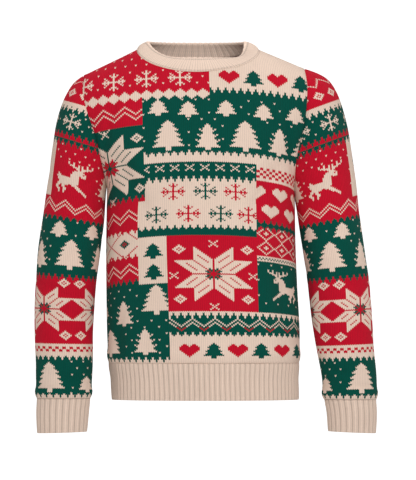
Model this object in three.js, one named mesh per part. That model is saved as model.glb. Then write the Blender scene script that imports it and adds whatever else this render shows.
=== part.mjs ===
// A knitted crew-neck pullover in a jacquard cloth, with ribbed neckband, hem and cuffs.
// It is hollow and keeps the shape of a worn garment: the chest is filled out and the arms hang.
// Millimetres, +Z up, front towards -Y, the wearer's right arm at -X.
// The origin is the middle of the neck at shoulder height, where a wearer carries it.
import * as THREE from "three";

// Driving dimensions
const CLOTH = 2.4; // jacquard wall
const RIB_CLOTH = 2.2; // rib band between two ribs
const NECK_CLOTH = 3.0; // neckband, folded double
const RIB_RISE = 1.3; // how far a rib stands out
const NECK_RIB_RISE = 0.8;
const HALF_GAP = 0.15; // each piece stops this far from a seam line
const HEM_RIBS = 96;
const CUFF_RIBS = 24;
const NECK_RIBS = 56;
const POINTS_A_RIB = 2; // a valley and the rib's crown

const HEM_TOP = -625; // where the body is linked to the hem rib
const HEM_BOTTOM = -698;
const NECK_POINT_HEIGHT = 1.5; // where the shoulder seam meets the neckband
const NECK_POINT_OUT = 121;

const PANEL_HALF_COLUMNS = 11;
const BODY_ROWS = 8; // hem to armpit
const ARMHOLE_ROWS = 12; // armpit to shoulder point
const SEAM_DETAIL = 6; // points worked out along the armhole seam for each row that uses it
const SHOULDER_ROWS = 4; // shoulder point to neck point
const SLEEVE_RINGS = 15;

// A short table becomes a list of rows whose values are read by the columns' names.
function table(columns, rows) {
  return rows.map((row) => Object.fromEntries(columns.map((name, i) => [name, row[i]])));
}

// The torso's level sections, from the hem up. centre is how far the body leans to +X, front and
// back are the depths ahead of and behind the side seams, square is 2 for an ellipse.
const TORSO = table(
  ["height", "centre", "halfWidth", "front", "back", "square"],
  [
    [-625, 12, 191, 116, 109, 2.25],
    [-560, 11, 193, 121, 113, 2.25],
    [-470, 8, 191, 125, 117, 2.25],
    [-380, 6, 189, 128, 120, 2.3],
    [-290, 6, 188, 129, 122, 2.3],
    [-210, 4, 196, 125, 121, 2.25],
    [-140, 2, 214, 115, 115, 2.15],
    [-85, 1, 226, 101, 104, 2.1],
    [-46, 0, 224, 86, 92, 2.0],
    [1.5, 0, 121, 70, 76, 2.0],
  ],
);

// Where the sleeves are set in: the distance of the armhole seam from the middle, from the
// shoulder point down to the armpit.
const ARMHOLES = {
  "-1": table(
    ["height", "out"],
    [[-51, 229], [-85, 229], [-131, 218], [-168, 205], [-217, 194], [-254, 186], [-276, 182]],
  ),
  1: table(
    ["height", "out"],
    [[-37, 213], [-76, 218], [-146, 213], [-212, 198], [-273, 193], [-302, 194]],
  ),
};

// The sleeves' sections, from the shoulder to the wrist. Each runs from an outer point to an
// inner one, seen from the front; above the armpit the inner one lies inside the body.
const SLEEVE_COLUMNS = ["outer", "outerHeight", "inner", "innerHeight", "halfDepth", "forward"];
const SLEEVES = {
  "-1": table(SLEEVE_COLUMNS, [
    [229, -51, 150, -62, 40, 0],
    [246, -64, 152, -90, 49, 0],
    [258, -80, 155, -110, 56, 0],
    [270, -104, 158, -137, 63, 0],
    [282, -142, 163, -178, 67, 0],
    [290, -190, 171, -226, 67, 0],
    [297, -240, 182, -276, 64, 0],
    [308, -320, 187, -343, 61, 3],
    [319, -396, 195, -410, 59, 7],
    [323, -452, 202, -461, 56, 10],
    [326, -508, 206, -513, 52, 13],
    [326, -564, 209, -567, 48, 15],
    [324, -620, 209, -621, 44, 16],
    [323, -696, 213, -696, 40, 16],
  ]),
  1: table(SLEEVE_COLUMNS, [
    [213, -37, 142, -50, 40, 0],
    [240, -47, 148, -80, 52, 0],
    [260, -59, 152, -100, 59, 0],
    [276, -81, 158, -124, 65, 0],
    [289, -114, 164, -162, 68, 0],
    [300, -156, 170, -204, 68, 0],
    [309, -212, 181, -256, 66, 0],
    [317, -268, 194, -302, 63, 0],
    [326, -345, 204, -366, 61, 4],
    [335, -410, 213, -424, 58, 8],
    [343, -466, 220, -476, 55, 11],
    [348, -530, 227, -537, 51, 14],
    [352, -596, 237, -600, 47, 16],
    [357, -650, 247, -652, 43, 17],
    [358, -698, 250, -698, 40, 17],
  ]),
};
const CUFFS = {
  "-1": table(SLEEVE_COLUMNS, [
    [320, -696.3, 216, -696.3, 37, 16],
    [321, -725, 219, -724, 35, 16],
    [320, -765, 222, -762, 33, 15],
  ]),
  1: table(SLEEVE_COLUMNS, [
    [355, -698.3, 254, -698.3, 37, 17],
    [356, -727, 259, -726, 35, 17],
    [355, -765, 261, -761, 33, 16],
  ]),
};

// The largest folds of the body: soft troughs (or ridges, with a negative depth) in the front
// or back. across and height place the middle, lean turns it from upright, degrees.
const FOLD_COLUMNS = ["face", "across", "height", "lean", "length", "width", "depth"];
const BODY_FOLDS = table(FOLD_COLUMNS, [
  [-1, -160, -590, 2, 70, 13, 5],
  [-1, 168, -470, -3, 120, 15, 4],
  [-1, 140, -270, 32, 60, 15, 5],
  [-1, -138, -262, -30, 55, 15, 5],
  [-1, 60, -560, -8, 70, 22, 2.5],
  [1, -150, -280, -28, 65, 16, 5],
  [1, 148, -300, 26, 65, 16, 5],
  [1, 40, -430, 10, 110, 24, 3.5],
  [1, -70, -540, -6, 80, 22, 3],
  [1, 165, -560, 0, 70, 14, 4],
]);
// The sleeves' folds: around is the angle from the outside over the front, lean from upright.
const SLEEVE_FOLDS = table(
  ["side", "around", "height", "lean", "length", "width", "depth"],
  [
    [1, 118, -205, -62, 38, 9, 5],
    [1, 60, -470, 70, 45, 11, 3.5],
    [1, 120, -640, 75, 40, 9, 3.5],
    [1, 270, -450, 78, 55, 11, 4.5],
    [-1, 125, -215, 55, 34, 9, 4.5],
    [-1, 75, -480, -70, 45, 11, 3.5],
    [-1, 95, -655, -78, 40, 9, 3],
    [-1, 270, -430, -76, 55, 11, 4.5],
  ],
);

// The neckband's folded edge. A larger rise makes it climb to the neck point more abruptly.
const NECKBAND = {
  topRight: 100, topLeft: 96, topFront: 70, topBack: 60,
  riseRight: 4.5, riseLeft: 12,
  frontHeight: -17, sideHeight: 19, backHeight: 16,
};
const FRONT_SCOOP = 47.5; // how far the neckline drops below the neck points
const BACK_SCOOP = 19.5;

const mix = (a, b, share) => a + (b - a) * share;
const smooth = (share) => share * share * (3 - 2 * share);
const clamp = (value, low, high) => Math.min(high, Math.max(low, value));
const radians = THREE.MathUtils.degToRad;

// The value of one column where another column has the given value, on a smooth curve.
function follow(rows, from, value, column) {
  const rising = rows[rows.length - 1][from] > rows[0][from];
  const inside = rising
    ? clamp(value, rows[0][from], rows[rows.length - 1][from])
    : clamp(value, rows[rows.length - 1][from], rows[0][from]);
  let i = 0;
  while (i < rows.length - 2 && (rising ? rows[i + 1][from] < inside : rows[i + 1][from] > inside)) i++;
  const slope = (k) => {
    const a = rows[Math.max(0, k - 1)];
    const b = rows[Math.min(rows.length - 1, k + 1)];
    return (b[column] - a[column]) / (b[from] - a[from]);
  };
  const step = rows[i + 1][from] - rows[i][from];
  const t = (inside - rows[i][from]) / step;
  const [t2, t3] = [t * t, t * t * t];
  return (
    (2 * t3 - 3 * t2 + 1) * rows[i][column] +
    (t3 - 2 * t2 + t) * step * slope(i) +
    (3 * t2 - 2 * t3) * rows[i + 1][column] +
    (t3 - t2) * step * slope(i + 1)
  );
}

// Adds to each row of a sleeve its distance along the arm.
for (const rows of [SLEEVES[-1], SLEEVES[1], CUFFS[-1], CUFFS[1]]) {
  let along = 0;
  rows.forEach((row, i) => {
    const last = rows[i - 1];
    if (last) {
      along += Math.hypot(
        (row.outer + row.inner - last.outer - last.inner) / 2,
        (row.outerHeight + row.innerHeight - last.outerHeight - last.innerHeight) / 2,
      );
    }
    row.along = along;
  });
}

// A point on a sleeve or cuff: angle 0 is the outside of the arm and a quarter turn the front.
function tubePoint(rows, side, along, angle) {
  const value = (column) => follow(rows, "along", along, column);
  const [outer, inner] = [value("outer"), value("inner")];
  const [outerHeight, innerHeight] = [value("outerHeight"), value("innerHeight")];
  const reach = (1 + Math.cos(angle)) / 2;
  return new THREE.Vector3(
    side * mix(inner, outer, reach),
    -value("halfDepth") * Math.sin(angle) - value("forward"),
    mix(innerHeight, outerHeight, reach),
  );
}

// How deep the listed folds are at a place. The place is given in the folds' own flat directions.
function foldDepth(folds, across, height) {
  return folds.reduce((sum, fold) => {
    const [dx, dz] = [across - fold.at, height - fold.height];
    const [c, s] = [Math.cos(radians(fold.lean)), Math.sin(radians(fold.lean))];
    const [lengthwise, sideways] = [(dz * c + dx * s) / fold.length, (dx * c - dz * s) / fold.width];
    return sum + fold.depth * Math.exp(-(lengthwise ** 2) - sideways ** 2);
  }, 0);
}

// The armhole seam of one side, from the armpit over the front or back to the shoulder point:
// the line where the sleeve's tube crosses the armhole's distance from the middle.
function armholeSeam(side, face) {
  const rows = SLEEVES[side];
  const armpit = rows.find((row) => row.innerHeight === ARMHOLES[side].at(-1).height).along;
  const steps = ARMHOLE_ROWS * SEAM_DETAIL;
  return Array.from({ length: steps + 1 }, (_, k) => {
    const along = (armpit * (1 + Math.cos((Math.PI * k) / steps))) / 2;
    let [low, high] = [0, Math.PI];
    for (let step = 0; step < 40; step++) {
      const middle = (low + high) / 2;
      const p = tubePoint(rows, side, along, middle);
      if (Math.abs(p.x) > follow(ARMHOLES[side], "height", p.z, "out")) low = middle;
      else high = middle;
    }
    if (k === 0) high = Math.PI;
    if (k === steps) high = 0;
    const point = tubePoint(rows, side, along, high);
    if (k === 0 || k === steps) point.y = 0;
    point.y = face * Math.abs(point.y);
    return { point, along, angle: high };
  });
}
const SEAMS = {};
for (const side of [-1, 1]) {
  for (const face of [-1, 1]) SEAMS[side + "," + face] = armholeSeam(side, face);
}
const armpitHeight = (side) => SEAMS[side + ",-1"][0].point.z;
const shoulderHeight = (side) => SEAMS[side + ",-1"].at(-1).point.z;

// The way into the garment at a point of the armhole seam, which both pieces' edges share.
function armholeInward(side, point) {
  const middle = (armpitHeight(side) + shoulderHeight(side)) / 2;
  return new THREE.Vector3(0, -point.y, middle - point.z).normalize();
}

// The edge of the front or back at a height: side seam, armhole seam, then shoulder seam.
function panelEdge(side, face, height) {
  const [armpit, shoulder] = [armpitHeight(side), shoulderHeight(side)];
  if (height <= armpit) {
    const pit = SEAMS[side + "," + face][0].point;
    const below = TORSO.filter((row) => row.height < armpit);
    below.push({ height: armpit, centre: 0, halfWidth: Math.abs(pit.x) });
    const out = (row) => ({ height: row.height, x: row.centre + side * row.halfWidth });
    return new THREE.Vector2(follow(below.map(out), "height", height, "x"), 0);
  }
  if (height >= shoulder) {
    const tip = Math.abs(SEAMS[side + "," + face].at(-1).point.x);
    const share = clamp((height - shoulder) / (NECK_POINT_HEIGHT - shoulder), 0, 1);
    return new THREE.Vector2(side * mix(tip, NECK_POINT_OUT, share), 0);
  }
  const seam = SEAMS[side + "," + face];
  let k = 0;
  while (k < seam.length - 2 && seam[k + 1].point.z < height) k++;
  const [a, b] = [seam[k].point, seam[k + 1].point];
  const share = (height - a.z) / (b.z - a.z);
  return new THREE.Vector2(mix(a.x, b.x, share), mix(a.y, b.y, share));
}

// A point of the torso's section: share 0 is the middle of the front or back, 1 its edge.
function torsoPoint(side, face, height, share) {
  const edge = panelEdge(side, face, height);
  const centre = follow(TORSO, "height", height, "centre");
  const depth = follow(TORSO, "height", height, face < 0 ? "front" : "back");
  const power = 2 / follow(TORSO, "height", height, "square");
  const edgeAngle = Math.asin(clamp(Math.abs(edge.y) / depth, 0, 1) ** (1 / power));
  const reach = (side * edge.x - side * centre) / Math.cos(edgeAngle) ** power;
  const at = (angle) => [reach * Math.cos(angle) ** power, depth * Math.sin(angle) ** power];
  const steps = 40;
  const points = Array.from({ length: steps + 1 }, (_, i) => {
    const turn = mix(Math.PI / 2, edgeAngle, i / steps);
    return i === 0 ? [0, depth] : i === steps ? [side * (edge.x - centre), Math.abs(edge.y)] : at(turn);
  });
  const lengths = [0];
  for (let i = 1; i <= steps; i++) {
    const [a, b] = [points[i - 1], points[i]];
    lengths.push(lengths[i - 1] + Math.hypot(b[0] - a[0], b[1] - a[1]));
  }
  const wanted = share * lengths[steps];
  let i = 0;
  while (i < steps - 1 && lengths[i + 1] < wanted) i++;
  const part = (wanted - lengths[i]) / (lengths[i + 1] - lengths[i]);
  const x = mix(points[i][0], points[i + 1][0], part);
  const y = mix(points[i][1], points[i + 1][1], part);
  return new THREE.Vector3(centre + side * x, face * y, height);
}

// The neckline drops from the neck points to the middle by this share of its scoop.
const scoopShape = (across) => ((1 + Math.cos(Math.PI * across)) / 2) ** 0.87;

// The way out of the garment at the neckline, shared by the panels' and the neckband's edges.
function necklineOutward(face, across) {
  const turn = (across * Math.PI) / 2;
  return new THREE.Vector3(
    0.45 * Math.sin(turn),
    face * 0.9 * Math.cos(turn),
    0.4 + 0.5 * Math.sin(turn) ** 2,
  ).normalize();
}

// One closed body from two grids of the same size, the outer and the inner face of a panel.
function panelGeometry(outer, inner) {
  const [rows, columns] = [outer.length, outer[0].length];
  const positions = [...outer.flat(), ...inner.flat()].flatMap((p) => p.toArray());
  const id = (layer, r, c) => layer * rows * columns + r * columns + c;
  const index = [];
  const quad = (a, b, c, d) => index.push(a, b, c, a, c, d);
  for (let r = 0; r + 1 < rows; r++) {
    for (let c = 0; c + 1 < columns; c++) {
      const upward = outer[r][c].distanceTo(outer[r + 1][c + 1]);
      const rising = upward <= outer[r][c + 1].distanceTo(outer[r + 1][c]);
      const corners = [[r, c], [r, c + 1], [r + 1, c + 1], [r + 1, c]];
      if (!rising) corners.push(corners.shift()); // each facet is cut along its shorter diagonal
      quad(...corners.map(([i, j]) => id(0, i, j)));
      corners.splice(1, 3, corners[3], corners[2], corners[1]);
      quad(...corners.map(([i, j]) => id(1, i, j)));
    }
    quad(id(0, r + 1, 0), id(1, r + 1, 0), id(1, r, 0), id(0, r, 0));
    quad(id(0, r, columns - 1), id(1, r, columns - 1), id(1, r + 1, columns - 1), id(0, r + 1, columns - 1));
  }
  for (let c = 0; c + 1 < columns; c++) {
    quad(id(0, 0, c), id(1, 0, c), id(1, 0, c + 1), id(0, 0, c + 1));
    quad(id(0, rows - 1, c + 1), id(1, rows - 1, c + 1), id(1, rows - 1, c), id(0, rows - 1, c));
  }
  return geometryOf(positions, index);
}

// One closed body from closed profiles that stand in a ring.
function ringGeometry(profiles) {
  const [around, points] = [profiles.length, profiles[0].length];
  const positions = profiles.flat().flatMap((p) => p.toArray());
  const id = (i, j) => (i % around) * points + (j % points);
  const index = [];
  for (let i = 0; i < around; i++) {
    for (let j = 0; j < points; j++) {
      index.push(id(i, j), id(i + 1, j), id(i + 1, j + 1), id(i, j), id(i + 1, j + 1), id(i, j + 1));
    }
  }
  return geometryOf(positions, index);
}

function geometryOf(positions, index) {
  const geometry = new THREE.BufferGeometry();
  geometry.setAttribute("position", new THREE.Float32BufferAttribute(positions, 3));
  let volume = 0;
  const corner = (i) => new THREE.Vector3().fromArray(positions, 3 * i);
  for (let i = 0; i < index.length; i += 3) {
    const [a, b, c] = [corner(index[i]), corner(index[i + 1]), corner(index[i + 2])];
    volume += a.dot(b.cross(c));
  }
  if (volume < 0) {
    for (let i = 0; i < index.length; i += 3) [index[i + 1], index[i + 2]] = [index[i + 2], index[i + 1]];
  }
  geometry.setIndex(index);
  geometry.computeVertexNormals();
  return geometry;
}

// The direction out of the cloth at each point of a grid, from its neighbours.
function gridNormals(grid, closed, hint) {
  const [rows, columns] = [grid.length, grid[0].length];
  return grid.map((row, r) =>
    row.map((p, c) => {
      const left = closed ? row[(c + columns - 1) % columns] : row[Math.max(0, c - 1)];
      const right = closed ? row[(c + 1) % columns] : row[Math.min(columns - 1, c + 1)];
      const below = grid[Math.max(0, r - 1)][c];
      const above = grid[Math.min(rows - 1, r + 1)][c];
      const normal = right.clone().sub(left).cross(above.clone().sub(below)).normalize();
      return normal.dot(hint(p)) < 0 ? normal.negate() : normal;
    }),
  );
}

// The front (face -1) or the back (face 1) of the body.
function bodyPanel(face) {
  const scoop = face < 0 ? FRONT_SCOOP : BACK_SCOOP;
  const lastRow = BODY_ROWS + ARMHOLE_ROWS + SHOULDER_ROWS;
  const edgeHeight = (side, row) => {
    const seam = SEAMS[side + "," + face];
    if (row <= BODY_ROWS) return mix(HEM_TOP, armpitHeight(side), row / BODY_ROWS);
    if (row <= BODY_ROWS + ARMHOLE_ROWS) return seam[(row - BODY_ROWS) * SEAM_DETAIL].point.z;
    return mix(shoulderHeight(side), NECK_POINT_HEIGHT, (row - BODY_ROWS - ARMHOLE_ROWS) / SHOULDER_ROWS);
  };
  const folds = BODY_FOLDS.filter((fold) => fold.face === face).map((fold) => ({ ...fold, at: fold.across }));
  const columns = Array.from({ length: 2 * PANEL_HALF_COLUMNS + 1 }, (_, c) => c / PANEL_HALF_COLUMNS - 1);
  const grid = Array.from({ length: lastRow + 1 }, (_, row) =>
    columns.map((across) => {
      const rise = clamp((row - BODY_ROWS) / (lastRow - BODY_ROWS), 0, 1);
      const level = mix(edgeHeight(-1, row), edgeHeight(1, row), (across + 1) / 2);
      const height = level - scoop * scoopShape(across) * smooth(rise);
      return torsoPoint(across < 0 ? -1 : 1, face, height, Math.abs(across));
    }),
  );
  const normals = gridNormals(grid, false, (p) => new THREE.Vector3(p.x, p.y * 2, 40));
  const outer = grid.map((row, r) =>
    row.map((p, c) => {
      const inside = Math.sin((Math.PI * c) / (row.length - 1)) > 0.3 && r > 0 && r < lastRow;
      return inside ? p.clone().addScaledVector(normals[r][c], -foldDepth(folds, p.x, p.z)) : p.clone();
    }),
  );
  const inner = outer.map((row, r) =>
    row.map((p, c) => {
      const side = c === 0 ? -1 : c === row.length - 1 ? 1 : 0;
      const inward = normals[r][c].clone().negate();
      if (side && r < BODY_ROWS) inward.set(-side, 0, 0);
      else if (side && r <= BODY_ROWS + ARMHOLE_ROWS) inward.copy(armholeInward(side, grid[r][c]));
      else if (side && r < lastRow) inward.set(-side * 0.4, 0, -0.92).normalize();
      if (r === lastRow) inward.copy(necklineOutward(face, columns[c])).negate();
      if (r === 0) inward.setZ(0).normalize();
      return p.clone().addScaledVector(inward, CLOTH);
    }),
  );
  for (const layer of [outer, inner]) {
    layer.forEach((row, r) => {
      const armhole = r >= BODY_ROWS && r <= BODY_ROWS + ARMHOLE_ROWS;
      const seamed = r <= BODY_ROWS || r >= BODY_ROWS + ARMHOLE_ROWS;
      for (const [side, p] of [[-1, row[0]], [1, row.at(-1)]]) {
        if (armhole) p.x -= side * HALF_GAP;
        if (seamed) p.y += face * HALF_GAP;
      }
    });
  }
  return { geometry: panelGeometry(outer, inner), neckOuter: outer[lastRow], neckInner: inner[lastRow] };
}

// A sleeve, from the armhole seam to the top of its cuff.
function sleeve(side) {
  const rows = SLEEVES[side];
  const end = rows.at(-1).along;
  const every = (line) => line.filter((_, k) => k % SEAM_DETAIL === 0);
  const seam = [
    ...every(SEAMS[side + ",-1"]),
    ...every(SEAMS[side + ",1"])
      .slice(1, -1)
      .reverse()
      .map(({ point, along, angle }) => ({ point, along, angle: -angle })),
  ];
  const around = seam.length;
  const even = (c) => Math.PI - (c * 2 * Math.PI) / around;
  const folds = SLEEVE_FOLDS.filter((fold) => fold.side === side);
  const grid = Array.from({ length: SLEEVE_RINGS + 1 }, (_, ring) =>
    seam.map(({ point, along, angle }, c) => {
      if (ring === 0) return point.clone();
      const share = ring / SLEEVE_RINGS;
      const turn = mix(angle, even(c), smooth(clamp(share * 2.5, 0, 1)));
      const p = tubePoint(rows, side, mix(along, end, share ** 1.05), turn);
      return p;
    }),
  );
  const hint = (p) => {
    const along = rows.reduce((best, row) =>
      Math.abs((row.outerHeight + row.innerHeight) / 2 - p.z) <
      Math.abs((best.outerHeight + best.innerHeight) / 2 - p.z) ? row : best);
    return new THREE.Vector3(p.x - (side * (along.outer + along.inner)) / 2, p.y + along.forward, 0);
  };
  const normals = gridNormals(grid, true, hint);
  const outer = grid.map((ringPoints, ring) =>
    ringPoints.map((p, c) => {
      if (ring === 0 || ring === SLEEVE_RINGS) return p.clone();
      const degrees = ((even(c) * 180) / Math.PI + 360) % 360;
      const girth = 60; // about the arm's radius, to turn an angle into a distance around
      const here = folds.map((fold) => ({ ...fold, at: radians(fold.around) * girth }));
      return p.clone().addScaledVector(normals[ring][c], -foldDepth(here, radians(degrees) * girth, p.z));
    }),
  );
  const inner = outer.map((ringPoints, ring) =>
    ringPoints.map((p, c) => {
      const inward = normals[ring][c].clone().negate();
      if (ring === 0) inward.copy(armholeInward(side, p));
      if (ring === SLEEVE_RINGS) inward.setZ(0).normalize();
      return p.clone().addScaledVector(inward, CLOTH);
    }),
  );
  for (const layer of [outer, inner]) for (const p of layer[0]) p.x += side * HALF_GAP;
  const profiles = seam.map((_, c) => [...outer.map((r) => r[c]), ...inner.map((r) => r[c]).reverse()]);
  return ringGeometry(profiles);
}

// How far out a rib band's face stands at one of its points.
const ribRise = (point, rise) => (point % POINTS_A_RIB === 0 ? 0 : rise);

// A ribbed cuff.
function cuff(side) {
  const rows = CUFFS[side];
  const end = rows.at(-1).along;
  const count = CUFF_RIBS * POINTS_A_RIB;
  const profiles = Array.from({ length: count }, (_, i) => {
    const angle = (2 * Math.PI * i) / count;
    const out = new THREE.Vector3(side * Math.cos(angle), -Math.sin(angle), 0);
    const at = (share, rise) => tubePoint(rows, side, end * share, angle).addScaledVector(out, rise);
    const rib = ribRise(i, RIB_RISE);
    const outside = [0, 0.45, 1].map((share) => at(share, rib));
    return [...outside, ...[1, 0.45, 0].map((share) => at(share, -RIB_CLOTH))];
  });
  return ringGeometry(profiles);
}

// The hem rib. Beside the wearer's right side seam the ribs run out into a plain strip.
function hemRib() {
  const count = HEM_RIBS * POINTS_A_RIB;
  const section = (angle, height, out) => {
    const side = Math.cos(angle) < 0 ? -1 : 1;
    const face = Math.sin(angle) < 0 ? 1 : -1;
    const turn = ((angle % Math.PI) + Math.PI) % Math.PI;
    const share = Math.abs(turn / (Math.PI / 2) - 1);
    const p = torsoPoint(side, face, HEM_TOP, share);
    const centre = follow(TORSO, "height", HEM_TOP, "centre");
    const drop = (HEM_TOP - height) / (HEM_TOP - HEM_BOTTOM);
    const narrow = 1 - 0.008 - 0.018 * smooth(clamp(drop * 2, 0, 1));
    const lean = 2 * drop;
    p.set(centre + (p.x - centre) * narrow + lean, p.y * narrow, height);
    const normal = new THREE.Vector3(Math.cos(angle), -Math.sin(angle), 0);
    return p.addScaledVector(normal, out);
  };
  const top = HEM_TOP - 2 * HALF_GAP;
  const middle = mix(HEM_TOP, HEM_BOTTOM, 0.5);
  const plainStrip = (angle) => Math.abs(angle - Math.PI * 0.943) < 0.179;
  const profiles = Array.from({ length: count }, (_, i) => {
    const angle = (2 * Math.PI * i) / count;
    const rib = plainStrip(angle) ? 0 : ribRise(i, RIB_RISE);
    const at = (height, out) => section(angle, height, out);
    return [
      at(top, rib), at(middle, rib), at(HEM_BOTTOM, rib),
      at(HEM_BOTTOM, -RIB_CLOTH), at(top, -RIB_CLOTH),
    ];
  });
  return ringGeometry(profiles);
}

// The neckband stands on the neckline and leans in to its folded top edge.
function neckband(front, back) {
  const baseOuter = [...front.neckOuter.slice(0, -1), ...back.neckOuter.slice(1).reverse()];
  const baseInner = [...front.neckInner.slice(0, -1), ...back.neckInner.slice(1).reverse()];
  const columns = 2 * PANEL_HALF_COLUMNS;
  const corners = baseOuter.length;
  const count = NECK_RIBS * POINTS_A_RIB;
  const onLine = (line, place) => {
    const whole = Math.floor(place) % corners;
    return line[whole].clone().lerp(line[(whole + 1) % corners], place - Math.floor(place));
  };
  const topEdge = (place) => {
    const face = place < columns ? -1 : 1;
    const across = face < 0 ? place / PANEL_HALF_COLUMNS - 1 : 3 - place / PANEL_HALF_COLUMNS;
    const turn = (across * Math.PI) / 2;
    const flat = Math.abs(Math.sin(turn)) ** (across < 0 ? NECKBAND.riseRight : NECKBAND.riseLeft);
    const low = face < 0 ? NECKBAND.frontHeight : NECKBAND.backHeight;
    return new THREE.Vector3(
      (across < 0 ? NECKBAND.topRight : NECKBAND.topLeft) * Math.sin(turn),
      face * (face < 0 ? NECKBAND.topFront : NECKBAND.topBack) * Math.cos(turn),
      mix(low, NECKBAND.sideHeight, flat),
    );
  };
  const bulge = 2.5;
  const profiles = Array.from({ length: count }, (_, i) => {
    const place = (i * corners) / count;
    const [outer, inner, top] = [onLine(baseOuter, place), onLine(baseInner, place), topEdge(place)];
    const inward = inner.clone().sub(outer).normalize();
    const up = top.clone().sub(outer);
    const lift = up.clone().normalize().multiplyScalar(2 * HALF_GAP);
    const wall = up.clone().cross(new THREE.Vector3().crossVectors(inward, up)).normalize();
    if (wall.dot(inward) > 0) wall.negate();
    const rib = ribRise(i, NECK_RIB_RISE);
    const face = (share, out) => outer.clone().addScaledVector(up, share).addScaledVector(wall, out);
    const gapped = (p) => p.clone().add(lift);
    return [
      gapped(outer),
      face(0.14, rib + 0.6 * bulge),
      face(0.5, rib + bulge),
      face(0.93, rib * 0.6 + 0.5 * bulge),
      face(1, -NECK_CLOTH / 2),
      face(0.93, -NECK_CLOTH),
      face(0.5, bulge - NECK_CLOTH),
      gapped(inner),
    ];
  });
  return ringGeometry(profiles);
}

const CREAM = new THREE.MeshStandardMaterial({ color: 0xdcc0aa, roughness: 0.95, metalness: 0 });
const GREEN = new THREE.MeshStandardMaterial({ color: 0x0a4b41, roughness: 0.95, metalness: 0 });
const RED = new THREE.MeshStandardMaterial({ color: 0xc0142f, roughness: 0.95, metalness: 0 });

const group = new THREE.Group();
function piece(name, geometry, material) {
  const mesh = new THREE.Mesh(geometry, material);
  mesh.name = name;
  group.add(mesh);
}
const front = bodyPanel(-1);
const back = bodyPanel(1);
piece("front", front.geometry, GREEN);
piece("back", back.geometry, GREEN);
piece("sleeve_right", sleeve(-1), RED);
piece("sleeve_left", sleeve(1), RED);
piece("neckband", neckband(front, back), CREAM);
piece("hem_rib", hemRib(), CREAM);
piece("cuff_right", cuff(-1), CREAM);
piece("cuff_left", cuff(1), CREAM);

export default group;
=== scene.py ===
import math

import bmesh
import bpy
import numpy as np
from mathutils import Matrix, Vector


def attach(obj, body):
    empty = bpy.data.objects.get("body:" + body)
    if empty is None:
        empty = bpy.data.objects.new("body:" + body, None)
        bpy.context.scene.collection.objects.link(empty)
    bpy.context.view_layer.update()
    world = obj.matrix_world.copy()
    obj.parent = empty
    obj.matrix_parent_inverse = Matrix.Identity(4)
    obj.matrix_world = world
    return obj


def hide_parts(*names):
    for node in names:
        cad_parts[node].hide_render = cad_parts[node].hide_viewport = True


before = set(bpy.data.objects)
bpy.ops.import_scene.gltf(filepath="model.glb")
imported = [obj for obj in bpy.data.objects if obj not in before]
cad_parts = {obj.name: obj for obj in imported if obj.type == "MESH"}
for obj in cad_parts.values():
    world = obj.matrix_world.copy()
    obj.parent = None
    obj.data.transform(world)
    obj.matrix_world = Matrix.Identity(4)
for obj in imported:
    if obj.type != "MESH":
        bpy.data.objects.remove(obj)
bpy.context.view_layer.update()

# Armholes
# The sleeves are knitted tubes that slant down from the shoulders. Each is linked into the body
# along its armhole, the curve where the tube crosses the armhole's distance from the middle.
# Everything is worked out in millimetres, as the pattern of the garment is.
MM = 0.001
RIGHT, LEFT = -1, 1  # the wearer's right side is at -X
FRONT, BACK = -1, 1  # the front is at -Y


def table(columns, rows):
    return {name: np.array([row[i] for row in rows], float) for i, name in enumerate(columns)}


SLEEVE_COLUMNS = ["outer", "outer_height", "inner", "inner_height", "half_depth", "forward"]
SLEEVES = {
    RIGHT: table(SLEEVE_COLUMNS, [
        (229, -51, 150, -62, 40, 0),
        (246, -64, 152, -90, 49, 0),
        (258, -80, 155, -110, 56, 0),
        (270, -104, 158, -137, 63, 0),
        (282, -142, 163, -178, 67, 0),
        (290, -190, 171, -226, 67, 0),
        (297, -240, 182, -276, 64, 0),
        (308, -320, 187, -343, 61, 3),
        (319, -396, 195, -410, 59, 7),
        (323, -452, 202, -461, 56, 10),
        (326, -508, 206, -513, 52, 13),
        (326, -564, 209, -567, 48, 15),
        (324, -620, 209, -621, 44, 16),
        (323, -696, 213, -696, 40, 16),
    ]),
    LEFT: table(SLEEVE_COLUMNS, [
        (213, -37, 142, -50, 40, 0),
        (240, -47, 148, -80, 52, 0),
        (260, -59, 152, -100, 59, 0),
        (276, -81, 158, -124, 65, 0),
        (289, -114, 164, -162, 68, 0),
        (300, -156, 170, -204, 68, 0),
        (309, -212, 181, -256, 66, 0),
        (317, -268, 194, -302, 63, 0),
        (326, -345, 204, -366, 61, 4),
        (335, -410, 213, -424, 58, 8),
        (343, -466, 220, -476, 55, 11),
        (348, -530, 227, -537, 51, 14),
        (352, -596, 237, -600, 47, 16),
        (357, -650, 247, -652, 43, 17),
        (358, -698, 250, -698, 40, 17),
    ]),
}
ARMHOLES = {
    RIGHT: table(["height", "out"], [
        (-51, 229), (-85, 229), (-131, 218), (-168, 205), (-217, 194), (-254, 186), (-276, 182)]),
    LEFT: table(["height", "out"], [
        (-37, 213), (-76, 218), (-146, 213), (-212, 198), (-273, 193), (-302, 194)]),
}


def follow(rows, start, value, column):
    """One column of a table where another has the given value, on a smooth curve."""
    x, y = rows[start], rows[column]
    if x[0] > x[-1]:
        x, y = x[::-1], y[::-1]
    n = len(x)
    below, above = np.maximum(np.arange(n) - 1, 0), np.minimum(np.arange(n) + 1, n - 1)
    slope = (y[above] - y[below]) / (x[above] - x[below])
    value = np.clip(value, x[0], x[-1])
    i = np.clip(np.searchsorted(x, value, side="right") - 1, 0, n - 2)
    step = x[i + 1] - x[i]
    t = (value - x[i]) / step
    return ((2 * t**3 - 3 * t**2 + 1) * y[i] + (t**3 - 2 * t**2 + t) * step * slope[i]
            + (3 * t**2 - 2 * t**3) * y[i + 1] + (t**3 - t**2) * step * slope[i + 1])


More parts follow.
